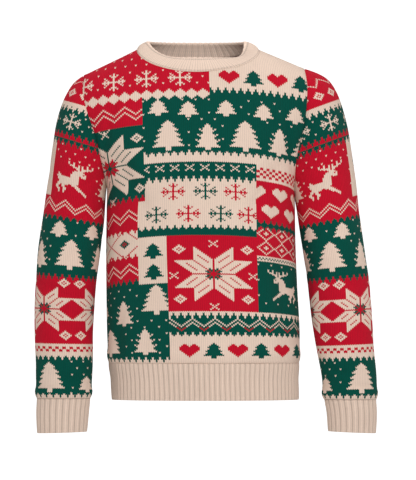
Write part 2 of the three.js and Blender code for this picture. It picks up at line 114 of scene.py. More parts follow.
def measure_along(rows):
    middle = (rows["outer"] + rows["inner"]) / 2
    height = (rows["outer_height"] + rows["inner_height"]) / 2
    rows["along"] = np.concatenate([[0], np.cumsum(np.hypot(np.diff(middle), np.diff(height)))])


def tube(rows, side, along, angle):
    """A point on a sleeve or cuff: angle 0 is the outside of the arm, a quarter turn the front."""
    def at(column):
        return follow(rows, "along", along, column)
    reach = (1 + np.cos(angle)) / 2
    return np.stack([
        side * (at("inner") + (at("outer") - at("inner")) * reach),
        -at("half_depth") * np.sin(angle) - at("forward"),
        at("inner_height") + (at("outer_height") - at("inner_height")) * reach,
    ], axis=-1)


def armhole_seam(side, steps=240):
    """From the armpit up to the shoulder point: distance along the arm, angle and place."""
    rows, hole = SLEEVES[side], ARMHOLES[side]
    armpit = rows["along"][np.argmin(abs(rows["inner_height"] - hole["height"][-1]))]
    along = armpit * (1 + np.cos(np.pi * np.arange(steps + 1) / steps)) / 2
    low, high = np.zeros(steps + 1), np.full(steps + 1, np.pi)
    for _ in range(40):
        middle = (low + high) / 2
        place = tube(rows, side, along, middle)
        outside = abs(place[:, 0]) > follow(hole, "height", place[:, 2], "out")
        low, high = np.where(outside, middle, low), np.where(outside, high, middle)
    high[0], high[-1] = np.pi, 0
    place = tube(rows, side, along, high)
    place[[0, -1], 1] = 0
    return {"along": along, "angle": high, "x": place[:, 0], "y": abs(place[:, 1]), "z": place[:, 2]}


def into_armhole(side, place):
    """The way into the groove along an armhole seam, which both of its edges are drawn."""
    low, high = SEAMS[side]["z"][[0, -1]]
    way = np.stack([0 * place[..., 0], -3.9 * place[..., 1], (low + high) / 2 - place[..., 2]], axis=-1)
    return way / (np.linalg.norm(way, axis=-1, keepdims=True) + 1e-9)


def link(side, place, to_seam, joined):
    """Draws cloth near an armhole seam into the groove; joined is 0 away from the armhole."""
    groove = GROOVE * joined * np.exp(-((to_seam / 3.2) ** 2))
    return place + into_armhole(side, place) * groove[..., None]


for side in (RIGHT, LEFT):
    measure_along(SLEEVES[side])
SEAMS = {side: armhole_seam(side) for side in (RIGHT, LEFT)}
GROOVE, LAP = 2.4, 0.3  # depth of the groove, and how far each edge runs under the other's

# Front and back
# Two jacquard panels, knitted from the hem up in three yarns with 3.6 mm stitches. They are
# linked at the sides and along the shoulders, and each link pulls its edges in a little.
HEM_TOP = -625
NECK_HEIGHT, NECK_OUT = 1.5, 121  # where the shoulder seam meets the neckband
SCOOP = {FRONT: 47.5, BACK: 19.5}
STITCH, ROW = 3.6, 2.6
HALF_STITCHES = 68  # of the front or the back, from the middle to the side seam
BODY_ROWS = 246
CHEVRON = 0.42  # how far the middle of a stitch hangs below its sides, in rows
CLOTH = 1.8

TORSO = table(["height", "centre", "half_width", "front", "back", "square"], [
    (-625, 12, 191, 116, 109, 2.25),
    (-560, 11, 193, 121, 113, 2.25),
    (-470, 8, 191, 125, 117, 2.25),
    (-380, 6, 189, 128, 120, 2.3),
    (-290, 6, 188, 129, 122, 2.3),
    (-210, 4, 196, 125, 121, 2.25),
    (-140, 2, 214, 115, 115, 2.15),
    (-85, 1, 226, 101, 104, 2.1),
    (-46, 0, 224, 86, 92, 2.0),
    (1.5, 0, 121, 70, 76, 2.0),
])
# The rows of stitches dip towards the armpits, because the chest lifts the cloth in the middle.
DIP = table(["height", "dip"], [
    (-625, 0), (-560, 5), (-470, 11), (-380, 14), (-290, 17), (-210, 17), (-140, 15), (-60, 12),
    (2, 9)])
# Soft troughs and ridges. lean turns one from upright, in degrees; a negative depth is a ridge.
FOLD_COLUMNS = ["across", "height", "lean", "length", "width", "depth"]
BODY_FOLDS = {
    FRONT: table(FOLD_COLUMNS, [
        (-160, -590, 2, 70, 13, 5), (168, -470, -3, 120, 15, 4),
        (140, -270, 32, 60, 15, 5), (-138, -262, -30, 55, 15, 5),
        (60, -560, -8, 70, 22, 2.5), (-176, -150, 12, 70, 9, 3.5), (182, -170, -10, 75, 9, 4),
        (118, -236, 40, 42, 10, -2), (-112, -236, -38, 40, 10, -1.8),
        (-96, -330, -24, 60, 16, 1.6), (104, -352, 20, 60, 18, 1.8),
        (-30, -588, 4, 46, 13, 1.5), (20, -600, -6, 40, 10, -1.2), (118, -604, 5, 40, 12, 2),
        (-104, -600, 8, 36, 9, 1.6), (-66, -480, 12, 80, 20, 1.2),
    ]),
    BACK: table(FOLD_COLUMNS, [
        (-150, -280, -28, 65, 16, 5), (148, -300, 26, 65, 16, 5),
        (40, -430, 10, 110, 24, 3.5), (-70, -540, -6, 80, 22, 3), (165, -560, 0, 70, 14, 4),
        (-182, -150, 10, 70, 9, 3.5), (184, -160, -10, 70, 9, 3.5),
        (-60, -210, -14, 70, 18, 1.8), (80, -240, 18, 76, 20, 2), (100, -590, -5, 44, 12, 1.8),
        (-20, -600, 6, 40, 12, 1.6), (-120, -420, 8, 90, 18, 1.6),
    ]),
}


def panel_edge(side, height):
    """The edge's x and distance from the shoulder line: side, armhole, then shoulder seam."""
    seam = SEAMS[side]
    below = TORSO["height"] < seam["z"][0]
    line = {
        "height": np.append(TORSO["height"][below], seam["z"][0]),
        "x": np.append((TORSO["centre"] + side * TORSO["half_width"])[below], seam["x"][0]),
    }
    rise = np.clip((height - seam["z"][-1]) / (NECK_HEIGHT - seam["z"][-1]), 0, 1)
    shoulder = side * (abs(seam["x"][-1]) + (NECK_OUT - abs(seam["x"][-1])) * rise)
    in_armhole = (height > seam["z"][0]) & (height < seam["z"][-1])
    x = np.where(height <= seam["z"][0], follow(line, "height", height, "x"),
                 np.where(in_armhole, np.interp(height, seam["z"], seam["x"]), shoulder))
    return x, np.where(in_armhole, np.interp(height, seam["z"], seam["y"]), 0)


class Torso:
    """One half of the front or back: places by distance from the middle and by height."""

    SAMPLES = 240

    def __init__(self, side, face):
        self.side, self.face, self.mirror = side, face, side
        self.heights = np.linspace(HEM_TOP, NECK_HEIGHT, 627)
        h = self.heights[:, None]
        edge_x, edge_y = panel_edge(side, h)
        centre = follow(TORSO, "height", h, "centre")
        depth = follow(TORSO, "height", h, "front" if face == FRONT else "back")
        power = 2 / follow(TORSO, "height", h, "square")
        edge_angle = np.arcsin(np.clip(edge_y / depth, 0, 1) ** (1 / power))
        reach = side * (edge_x - centre) / np.cos(edge_angle) ** power
        share = np.linspace(0, 1, self.SAMPLES + 1)
        turn = np.pi / 2 + (edge_angle - np.pi / 2) * share
        x = reach * np.clip(np.cos(turn), 0, 1) ** power
        y = depth * np.clip(np.sin(turn), 0, 1) ** power
        run = np.cumsum(np.hypot(np.diff(x), np.diff(y)), axis=1)
        run = np.hstack([np.zeros_like(h), run])
        self.reach = run[:, -1]
        self.widest = self.reach.max()
        self.x, self.y = (np.array([np.interp(share * r[-1], r, line) for r, line in zip(run, lines)])
                          for lines in (x, y))
        self.x = centre + side * self.x
        across = np.linspace(0, 1, 201)
        scoop = ((1 + np.cos(np.pi * across)) / 2) ** 0.87
        self.neck_height = NECK_HEIGHT - SCOOP[face] * scoop
        self.neck_across = across * np.interp(self.neck_height, self.heights, self.reach)

    def place(self, across, height):
        rise = (height - HEM_TOP) / (NECK_HEIGHT - HEM_TOP)
        row = np.clip(rise, 0, 1) * (len(self.heights) - 1.001)
        reach = np.interp(height, self.heights, self.reach)
        column = np.clip(across / reach, 0, 1) * (self.SAMPLES - 0.001)
        r, c = row.astype(int), column.astype(int)
        fr, fc = row - r, column - c
        weights = ((r, c, (1 - fr) * (1 - fc)), (r, c + 1, (1 - fr) * fc),
                   (r + 1, c, fr * (1 - fc)), (r + 1, c + 1, fr * fc))
        x, y = (sum(line[i, j] * w for i, j, w in weights) for line in (self.x, self.y))
        return np.stack([x, self.face * y, np.clip(height, HEM_TOP, NECK_HEIGHT)], axis=-1)

    def height_of(self, row, across):
        level = HEM_TOP + ROW * row
        dip = follow(DIP, "height", level, "dip")
        return level - dip * (across / 190) ** 2.2

    def room(self, row, across):
        """How far inside the panel a stitch is, in millimetres; less than zero is outside it."""
        height = self.height_of(row, across)
        neck = np.interp(across, self.neck_across, self.neck_height, right=NECK_HEIGHT + 1)
        return np.minimum(np.interp(height, self.heights, self.reach) - across, neck - height)

    def stitch(self, row):
        """The width of a stitch: all of them reach the side seam below the armpit."""
        height = np.minimum(HEM_TOP + ROW * row, SEAMS[self.side]["z"][0])
        return np.interp(height, self.heights, self.reach) / HALF_STITCHES

    def surface(self, row, across):
        """Places and the directions out of the cloth, with its folds and its edges drawn in."""
        height = self.height_of(row, across)
        place = self.place(across, height)
        sideways = self.place(across + 2, height) - self.place(across - 2, height)
        sideways[across == 0] = (self.side, 0, 0)
        upwards = self.place(across, height + 3) - self.place(across, height - 3)
        normal = np.cross(sideways, upwards) * (-self.face * self.side)
        normal /= np.linalg.norm(normal, axis=-1, keepdims=True) + 1e-12
        reach = np.interp(height, self.heights, self.reach)
        lean = (np.interp(height + 4, self.heights, self.reach)
                - np.interp(height - 4, self.heights, self.reach)) / 8
        to_seam = (reach - across) / np.hypot(1, lean)
        to_hem = height - HEM_TOP
        folds = fold_depth(BODY_FOLDS[self.face], place[..., 0], place[..., 2])
        edge = np.clip(to_seam / 12, 0, 1)
        armpit, tip = SEAMS[self.side]["z"][[0, -1]]
        joined = np.clip(np.minimum(1 + (height - armpit) / 15, 1 - (height - tip) / 10), 0, 1)
        place = link(self.side, place, to_seam, joined)
        place[..., 0] += self.side * LAP * joined * np.exp(-(to_seam**2))
        out = -folds * edge * np.clip(to_hem / 25, 0, 1)
        out -= 1.5 * (1 - joined) * np.exp(-((to_seam / 3.2) ** 2))
        out += 2.2 * np.exp(-(((to_hem - 16) / 12) ** 2)) - 1.2 * np.exp(-((to_hem / 3) ** 2))
        out += 0.5 * np.sin(place[..., 0] / 21 + place[..., 2] / 47) * edge
        return place + normal * out[..., None], normal


def fold_depth(folds, across, height, girth=1e9):
    depth = 0
    for i in range(len(folds["depth"])):
        lean = math.radians(folds["lean"][i])
        dx, dz = across - folds["across"][i], height - folds["height"][i]
        dx = (dx + girth / 2) % girth - girth / 2  # the shorter way round an arm
        lengthwise = (dz * math.cos(lean) + dx * math.sin(lean)) / folds["length"][i]
        sideways = (dx * math.cos(lean) - dz * math.sin(lean)) / folds["width"][i]
        depth = depth + folds["depth"][i] * np.exp(-(lengthwise**2) - sideways**2)
    return depth


def knit_half(half, rows, turned, step=None):
    """Vertices, faces, stitch coordinates and stitch numbers of one half of a panel.

    Without a step each stitch has two faces that meet in a V. With one, the faces are that many
    stitches wide and high and lie inside, one cloth's thickness in. The grid of stitches is cut
    off along the panel's edge; a face is a row of corners that -1 fills up to six."""
    width = int(half.widest / STITCH) + 3
    if step is None:
        column = np.arange(0, 2 * width + 1) / 2
        level = np.arange(rows + 1)[:, None] + CHEVRON * np.where(column % 1 == 0, 1, -1)
        level[0], level[-1] = 0, rows
    else:
        column = np.arange(0, width + step, step, dtype=float)
        level = np.minimum(np.arange(0, rows + step, step), rows)[:, None] + 0 * column
    shape = level.shape
    across = (column * half.stitch(level)).ravel()
    level = level.ravel()
    room = half.room(level, across)
    inside = room > -1e-9
    index = np.arange(level.size).reshape(shape)
    quads = np.stack([index[:-1, :-1], index[:-1, 1:], index[1:, 1:], index[1:, :-1]], axis=-1)
    stitch = np.stack(np.broadcast_arrays(
        half.mirror * (np.floor(column[:-1]) + 0.5)[None], (np.arange(shape[0] - 1) + 0.5)[:, None],
    ), axis=-1)
    quads, stitch = quads.reshape(-1, 4), stitch.reshape(-1, 2)
    if turned != (step is not None):
        quads = quads[:, ::-1]
    kept = inside[quads].any(axis=1)
    quads, stitch = quads[kept], stitch[kept]
    # Where a side of a face crosses the panel's edge, it gets a corner there.
    sides = np.sort(np.stack([quads, np.roll(quads, -1, axis=1)], axis=-1), axis=-1)
    ends = np.unique(sides[inside[sides[..., 0]] != inside[sides[..., 1]]], axis=0)
    near, far = np.zeros(len(ends)), np.ones(len(ends))
    for _ in range(18):
        t = (near + far) / 2
        line, way = (a[ends[:, 0]] + (a[ends[:, 1]] - a[ends[:, 0]]) * t for a in (level, across))
        same = (half.room(line, way) > -1e-9) == inside[ends[:, 0]]
        near, far = np.where(same, t, near), np.where(same, far, t)
    crossing = {tuple(pair): level.size + i for i, pair in enumerate(ends.tolist())}
    level, across = np.append(level, line), np.append(across, way)
    faces = np.full((len(quads), 6), -1)
    faces[:, :4] = quads
    for i in np.flatnonzero(~inside[quads].all(axis=1)):
        corners, quad = [], quads[i].tolist()
        for start, end in zip(quad, quad[1:] + quad[:1]):
            if inside[start]:
                corners.append(start)
            if inside[start] != inside[end]:
                corners.append(crossing[min(start, end), max(start, end)])
        faces[i] = corners + [-1] * (6 - len(corners))
    used, faces_used = np.unique(faces[faces >= 0], return_inverse=True)
    faces[faces >= 0] = faces_used
    level, across = level[used], across[used]
    place, normal = half.surface(level, across)
    if step is not None:
        place = place - normal * CLOTH
    uv = np.stack([half.mirror * across / half.stitch(level), level], axis=-1)
    return place, faces, uv, stitch


def knit_mesh(name, parts, chart, palette):
    """Joins halves into one mesh with a UV map in stitches and the chart's yarn colours.

    The first two halves are the outer skin and the others the inner one."""
    places, faces, uvs, stitches, shift = [], [], [], [], 0
    for place, face, uv, stitch in parts:
        places.append(place)
        faces.append(np.where(face < 0, -1, face + shift))
        uvs.append(uv)
        stitches.append(stitch)
        shift += len(place)
    outer = len(faces[0]) + len(faces[1])
    places, faces, uvs, stitches = (np.vstack(part) for part in (places, faces, uvs, stitches))
    sizes, corners = (faces >= 0).sum(axis=1), faces[faces >= 0]
    mesh = bpy.data.meshes.new(name)
    mesh.vertices.add(len(places))
    mesh.vertices.foreach_set("co", (places * MM).ravel())
    mesh.loops.add(len(corners))
    mesh.loops.foreach_set("vertex_index", corners)
    mesh.polygons.add(len(sizes))
    mesh.polygons.foreach_set("loop_start", np.cumsum(sizes) - sizes)
    mesh.polygons.foreach_set("loop_total", sizes)
    mesh.polygons.foreach_set("use_smooth", np.ones(len(sizes), bool))
    mesh.update(calc_edges=True)
    mesh.polygons.foreach_set("material_index", (np.arange(len(sizes)) >= outer).astype(int))
    mesh.uv_layers.new(name="stitches").data.foreach_set("uv", uvs[corners].ravel())
    column = np.clip(np.floor(stitches[:, 0]).astype(int) + chart.shape[1] // 2, 0, chart.shape[1] - 1)
    row = np.clip(np.floor(stitches[:, 1]).astype(int), 0, chart.shape[0] - 1)
    colours = np.array(palette)[chart[row, column]]
    layer = mesh.color_attributes.new("yarn", "FLOAT_COLOR", "CORNER")
    per_corner = np.repeat(np.hstack([colours, np.ones((len(colours), 1))]), sizes, axis=0)
    layer.data.foreach_set("color", per_corner.ravel())
    piece = bpy.data.objects.new(name, mesh)
    bpy.context.collection.objects.link(piece)
    bpy.ops.object.select_all(action="DESELECT")
    piece.select_set(True)
    bpy.context.view_layer.objects.active = piece
    bpy.ops.object.mode_set(mode="EDIT")
    bpy.ops.mesh.select_all(action="SELECT")
    bpy.ops.mesh.remove_doubles(threshold=0.02 * MM)
    bpy.ops.object.mode_set(mode="OBJECT")
    return piece


# The charts. A field is a rectangle of stitches, and the motifs are worked in it.
CREAM, GREEN, RED = 0, 1, 2


def srgb(r, g, b):
    return tuple((c / 255 / 12.92) if c <= 10 else ((c / 255 + 0.055) / 1.055) ** 2.4 for c in (r, g, b))


YARNS = [srgb(233, 208, 190), srgb(0, 76, 64), srgb(196, 16, 42)]


class Chart:
    """A grid of stitches, with the middle column at zero and the first row at the hem."""

    def __init__(self, half, rows, ground):
        self.grid = np.full((rows, 2 * half), ground)
        self.y, self.x = np.mgrid[0:rows, -half:half]

    def box(self, x0, x1, y0, y1):
        return (self.x >= x0) & (self.x < x1) & (self.y >= y0) & (self.y < y1)

    def put(self, mask, yarn):
        self.grid[mask] = yarn

    def field(self, x0, x1, y0, y1, yarn):
        self.put(self.box(x0, x1, y0, y1), yarn)

    def rose(self, x, y, size, yarn, heart=None):
        """An eight-pointed star of eight petals; the middle stitch is at x, y."""
        a, b = abs(self.x - x), abs(self.y - y)
        small, large = np.minimum(a, b), np.maximum(a, b)
        petals = (small >= 1) & (small <= size) & (large > small) & (large <= small + size)
        self.put(petals, yarn)
        if heart is not None:
            inner = (small >= 2) & (small <= size - 2) & (large > small + 2) & (large <= small + size - 2)
            self.put(inner, heart)

    def stamp(self, x, y, rows, yarn):
        """A motif drawn with # signs, centred on column x and standing on row y."""
        height, width = len(rows), len(rows[0])
        for r, line in enumerate(rows):
            for c, mark in enumerate(line):
                row, column = y + height - 1 - r, x + c - width // 2 + self.grid.shape[1] // 2
                if mark == "#" and 0 <= row < self.grid.shape[0] and 0 <= column < self.grid.shape[1]:
                    self.grid[row, column] = yarn

    def clear_stamps(self, ground, yarn, motifs):
        """Motifs with their own shape on a speckled ground: the specks round each are left out."""
        for x, y, motif in motifs:
            half = len(motif[0]) // 2 + 1
            self.field(x - half, x + half + 1, y - 1, y + len(motif) + 1, ground)
        for x, y, motif in motifs:
            self.stamp(x, y, motif, yarn)

    def repeat(self, x0, x1, step, y, motif, yarn):
        for x in range(x0, x1, step):
            self.stamp(x, y, motif, yarn)

    def veins(self, x, y, size, yarn):
        """A thin line down the middle of each of a rose's petals."""
        a, b = abs(self.x - x), abs(self.y - y)
        small, large = np.minimum(a, b), np.maximum(a, b)
        self.put((small > 2) & (small < size - 1) & (large == small + size // 2 + 1), yarn)

    def zigzag(self, x0, x1, y, period, thick, yarn):
        wave = abs((self.x - x0) % period - period // 2)
        self.put(self.box(x0, x1, 0, 999) & (self.y >= y + wave) & (self.y < y + wave + thick), yarn)

    def teeth(self, x0, x1, y, height, yarn, period=4):
        """A saw-toothed edge that rises from row y, or hangs from it if height is negative."""
        wave = abs((self.x - x0) % period - period // 2) * 2 / period
        level = self.y - y if height > 0 else y - 1 - self.y
        self.put(self.box(x0, x1, 0, 999) & (level >= 0) & (level < abs(height) * wave + 0.5), yarn)

    def lice(self, x0, x1, y0, y1, across, up, yarn):
        """Single stitches, offset on every other row."""
        turn = ((self.y - y0) // up) % 2 * (across // 2)
        marks = ((self.x - x0 - across // 2 + turn) % across == 0) & ((self.y - y0 - up // 2) % up == 0)
        self.put(self.box(x0, x1, y0, y1) & marks, yarn)

    def lattice(self, x0, x1, y0, y1, period, yarn, middle=None):
        """Diamonds in a net of single stitches; middle is the middle column of one of them."""
        middle = x0 + period // 2 if middle is None else middle
        a = abs((self.x - middle + period // 2) % period - period // 2)
        b = abs((self.y - y0) % period - period // 2)
        self.put(self.box(x0, x1, y0, y1) & ((a + b == period // 2) | (a + b < 2)), yarn)

    def checks(self, x0, x1, y0, y1, size, yarn):
        mask = ((self.x - x0) // size + (self.y - y0) // size) % 2 == 0
        self.put(self.box(x0, x1, y0, y1) & mask, yarn)


FIR = [
    ".........#.........", "........###........", ".......#####.......", "......#######......",
    ".......#####.......", "......#######......", ".....#########.....", "....###########....",
    "......#######......", ".....#########.....", "....###########....", "...#############...",
    ".....#########.....", "....###########....", "...#############...", "..###############..",
    "....###########....", "...#############...", "..###############..", ".#################.",
    "........###........", "........###........", "........###........",
]
SLIM_FIR = [
    "......#......", ".....###.....", ".....###.....", "....#####....", "..#.#####.#..", "...#######...",
    "....#####....", "....#####....", ".#.#######.#.", "..#########..", "...#######...", "...#######...",
    "#.#########.#", ".###########.", "..#########..", "..#########..", ".###########.", "#############",
    ".....###.....", ".....###.....",
]
SMALL_FIR = [
    "......#......", ".....###.....", "....#####....", "...#######...", "....#####....",
    "...#######...", "..#########..", "...#######...", "..#########..", ".###########.",
    ".....###.....", ".....###.....",
]
FLAKE = [
    "......#......", "....#.#.#....", ".....###.....", ".#....#....#.", "..#...#...#..",
    ".#.#..#..#.#.", "#############", ".#.#..#..#.#.", "..#...#...#..", ".#....#....#.",
    ".....###.....", "....#.#.#....", "......#......",
]
HEART = [
    "..##...##..", ".####.####.", "###########", "###########", "###########", ".#########.",
    "..#######..", "...#####...", "....###....", ".....#.....",
]
DEER = [
    "..#..#.......#..#.......", "..#..#..#.#..#..#.......", "...###..#.#..###........",
    ".....####.####..........", ".......##.##............", "........###.............",
    ".......######...........", "......#.######..........", "......########..........",
    "......###.#####.........", "..........#####.......#.", "..........#####......##.",
    "..........##############", "..........#############.", "..........#############.",
    "..........############..", "...........###########..", "..........####..#######.",
    ".........###......##.##.", "........###.......##..##", ".......###.......##...##",
    "......##.........##..##.", ".....##...........#..#..", ".....#............#..#..",
]
CROSS = ["#...#", ".#.#.", "..#..", ".#.#.", "#...#"]
DIAMOND = ["...#...", "..###..", ".##.##.", "##.#.##", ".##.##.", "..###..", "...#..."]
SPRIG = ["#.....#", ".#.#.#.", "..###..", "...#...", "..#.#..", ".#...#."]


def front_chart():
    chart = Chart(76, BODY_ROWS, CREAM)
    # Above the hem: snowy firs beside a strip of hearts and firs.
    chart.field(-76, -18, 0, 62, GREEN)
    chart.teeth(-76, -18, 0, 4, CREAM)
    chart.lice(-76, -18, 6, 62, 8, 5, CREAM)
    chart.clear_stamps(GREEN, CREAM, [
        (-58, 5, FIR), (-32, 7, SLIM_FIR), (-45, 30, SLIM_FIR), (-65, 38, SMALL_FIR), (-25, 38, FIR)])
    chart.field(-18, 76, 0, 20, CREAM)
    for x in range(-8, 77, 26):
        chart.stamp(x, 5, HEART, RED)
        chart.stamp(x + 13, 4, SMALL_FIR, GREEN)
    chart.field(-18, 76, 20, 40, GREEN)
    chart.teeth(-18, 76, 20, 3, CREAM)
    chart.zigzag(-18, 76, 25, 12, 1, CREAM)
    chart.zigzag(-18, 76, 28, 12, 1, CREAM)
    chart.repeat(-12, 76, 12, 25, CROSS[:3], RED)
    chart.teeth(-18, 76, 40, -4, CREAM)
    # A rose on red, beside a deer on green.
    chart.field(-18, 30, 40, 98, RED)
    chart.rose(6, 68, 10, CREAM)
    chart.rose(6, 68, 2, GREEN)
    chart.veins(6, 68, 10, RED)
    for x, y in ((-12, 46), (24, 46), (-12, 84), (24, 84)):
        chart.stamp(x, y, DIAMOND, CREAM)
    for x, y in ((6, 41), (6, 89), (-15, 65), (27, 65)):
        chart.stamp(x, y, CROSS, CREAM)
    chart.field(30, 76, 40, 90, GREEN)
    chart.lice(30, 76, 44, 88, 8, 6, CREAM)
    chart.clear_stamps(GREEN, CREAM, [(46, 50, DEER), (70, 52, SLIM_FIR)])
    chart.field(30, 76, 80, 84, CREAM)
    chart.checks(30, 76, 81, 83, 1, GREEN)
    chart.field(30, 76, 84, 108, RED)
    chart.lattice(30, 76, 85, 107, 11, CREAM)
    chart.teeth(30, 76, 108, -3, GREEN)
    # Zigzags and diamonds on red.
    chart.field(-76, -34, 62, 126, RED)
    chart.teeth(-76, -34, 62, 4, GREEN)
    for y in (68, 72, 110, 114):
        chart.zigzag(-76, -34, y, 12, 1, CREAM)
    chart.field(-76, -34, 82, 106, CREAM)
    chart.lattice(-76, -34, 83, 106, 22, RED)
    chart.repeat(-65, -34, 22, 91, DIAMOND, GREEN)
    chart.repeat(-54, -34, 22, 80, DIAMOND, RED)
    chart.teeth(-76, -34, 82, 3, RED)
    chart.teeth(-76, -34, 106, -3, RED)
    # Firs on cream, and snowflakes in the middle of the chest.
    chart.field(-34, -18, 62, 98, CREAM)
    chart.stamp(-26, 65, SMALL_FIR, GREEN)
    chart.stamp(-26, 81, SMALL_FIR, GREEN)
    chart.field(-34, 30, 98, 102, GREEN)
    chart.teeth(-34, 30, 102, 3, GREEN)
    for x, y, yarn in ((-24, 108, GREEN), (-7, 108, RED), (10, 108, GREEN), (25, 108, RED),
                       (-15, 125, RED), (2, 125, GREEN), (18, 125, RED)):
        chart.stamp(x, y, FLAKE, yarn)
    chart.teeth(-34, 30, 144, -4, GREEN)
    chart.field(-34, 30, 144, 154, GREEN)
    chart.repeat(-30, 30, 8, 147, CROSS, CREAM)
    # Hearts and checks on the wearer's left.
    chart.field(30, 76, 108, 154, RED)
    chart.teeth(30, 76, 108, 3, GREEN)
    for x in (38, 53, 68):
        chart.stamp(x, 114, HEART, CREAM)
        chart.stamp(x - 8, 128, HEART, CREAM)
    chart.field(30, 76, 142, 154, CREAM)
    chart.checks(30, 76, 144, 152, 2, RED)
    # The big star on green.
    chart.field(-76, -30, 126, 184, GREEN)
    chart.teeth(-76, -30, 126, 4, RED)
    chart.rose(-53, 155, 11, CREAM)
    chart.rose(-53, 155, 3, RED)
    chart.veins(-53, 155, 11, GREEN)
    for x, y in ((-72, 133), (-34, 133), (-72, 171), (-34, 171)):
        chart.stamp(x, y, DIAMOND, CREAM)
    chart.stamp(-53, 127, SPRIG, CREAM)
    chart.stamp(-53, 178, SPRIG, CREAM)
    # Firs across the chest.
    chart.field(-30, 76, 154, 158, CREAM)
    chart.field(-30, 76, 158, 206, GREEN)
    chart.teeth(-30, 76, 158, 4, CREAM)
    chart.lice(-30, 76, 164, 204, 7, 5, CREAM)
    chart.clear_stamps(GREEN, CREAM, [
        (-17, 163, FIR), (4, 163, SLIM_FIR), (24, 163, FIR), (43, 163, SLIM_FIR), (61, 163, FIR),
        (-6, 188, SMALL_FIR), (14, 189, SMALL_FIR), (34, 188, SMALL_FIR), (52, 189, SMALL_FIR)])
    # The yoke: red with snowflakes on one side, and cream with hearts on the other.
    chart.field(-76, -30, 184, BODY_ROWS, RED)
    chart.field(-30, 6, 206, BODY_ROWS, RED)
    chart.clear_stamps(GREEN, CREAM, [(-22, 190, SMALL_FIR), (-6, 188, SMALL_FIR)])
    chart.zigzag(-76, -30, 188, 12, 1, CREAM)
    chart.zigzag(-76, -30, 192, 12, 1, CREAM)
    chart.teeth(-76, 6, 206, 3, CREAM, 6)
    chart.teeth(-76, 6, 206, -3, CREAM, 6)
    chart.lice(-76, 6, 212, BODY_ROWS, 6, 5, CREAM)
    for x in (-64, -46, -28, -10):
        chart.field(x - 6, x + 7, 211, 226, RED)
        chart.stamp(x, 212, FLAKE, CREAM)
    chart.field(6, 76, 206, BODY_ROWS, CREAM)
    chart.teeth(6, 76, 206, 4, GREEN)
    for x in (16, 42, 68):
        chart.stamp(x, 214, HEART, RED)
        chart.stamp(x + 13, 213, SMALL_FIR, GREEN)
    return chart.grid


def back_chart():
    chart = Chart(76, BODY_ROWS, RED)
    chart.lice(-76, 10, 4, 48, 8, 6, CREAM)
    chart.clear_stamps(RED, CREAM, [(-52, 10, DEER), (-16, 10, DEER), (-70, 8, SLIM_FIR), (-34, 8, SLIM_FIR)])
    chart.field(10, 76, 0, 48, CREAM)
    chart.teeth(10, 76, 0, 4, GREEN)
    for x in (22, 44, 66):
        chart.stamp(x, 6, FIR, GREEN)
        chart.stamp(x - 11, 30, HEART, RED)
    chart.field(-76, 76, 48, 52, CREAM)
    chart.field(-76, 76, 52, 106, GREEN)
    chart.teeth(-76, 76, 52, 4, CREAM)
    for x in (-54, 0, 54):
        chart.rose(x, 80, 10, CREAM)
        chart.rose(x, 80, 2, RED)
        chart.veins(x, 80, 10, GREEN)
    for x in (-27, 27):
        chart.stamp(x, 74, FLAKE, CREAM)
        chart.stamp(x, 92, DIAMOND, CREAM)
        chart.stamp(x, 62, DIAMOND, CREAM)
    chart.field(-76, 76, 106, 114, RED)
    chart.repeat(-72, 76, 8, 108, CROSS, CREAM)
    chart.field(-76, -20, 114, 164, CREAM)
    chart.zigzag(-76, -20, 117, 12, 1, RED)
    chart.lattice(-76, -20, 128, 151, 22, GREEN)
    chart.repeat(-65, -20, 22, 136, DIAMOND, RED)
    chart.zigzag(-76, -20, 154, 12, 1, RED)
    chart.field(-20, 76, 114, 164, RED)
    chart.lice(-20, 76, 116, 162, 7, 6, CREAM)
    chart.clear_stamps(RED, CREAM, [
        (-6, 120, FIR), (14, 119, SLIM_FIR), (34, 120, FIR), (54, 119, SLIM_FIR), (4, 146, SMALL_FIR),
        (24, 145, SMALL_FIR), (44, 146, SMALL_FIR), (66, 140, SMALL_FIR)])
    chart.field(-76, 76, 164, 208, GREEN)
    chart.teeth(-76, 76, 164, 4, RED)
    chart.lice(-76, 76, 170, 206, 7, 6, CREAM)
    for x in range(-66, 67, 19):
        chart.field(x - 8, x + 9, 174, 190, GREEN)
        chart.stamp(x, 176, FLAKE, CREAM)
    chart.zigzag(-76, 76, 194, 12, 2, CREAM)
    chart.field(-76, 76, 206, BODY_ROWS, CREAM)
    chart.teeth(-76, 76, 206, 4, GREEN)
    for x in range(-52, 53, 26):
        chart.stamp(x, 214, HEART, RED)
        chart.stamp(x + 13, 213, SMALL_FIR, GREEN)
    return chart.grid


class Signal:
    """A number that changes over a surface. Sums on it become Math nodes."""

    def __init__(self, cloth, socket):
        self.cloth, self.socket = cloth, socket

    def maths(self, operation, *others, swapped=False):
        values = [self, *others]
        if swapped:
            values.reverse()
        return self.cloth.add("ShaderNodeMath", {"operation": operation}, dict(enumerate(values)))

    def __add__(self, other): return self.maths("ADD", other)
    def __radd__(self, other): return self.maths("ADD", other)
    def __sub__(self, other): return self.maths("SUBTRACT", other)
    def __rsub__(self, other): return self.maths("SUBTRACT", other, swapped=True)
    def __mul__(self, other): return self.maths("MULTIPLY", other)
    def __rmul__(self, other): return self.maths("MULTIPLY", other)
    def __truediv__(self, other): return self.maths("DIVIDE", other)
    def __pow__(self, other): return self.maths("POWER", other)
    def __abs__(self): return self.maths("ABSOLUTE")
    def sine(self): return self.maths("SINE")
    def fraction(self): return self.maths("FRACT")


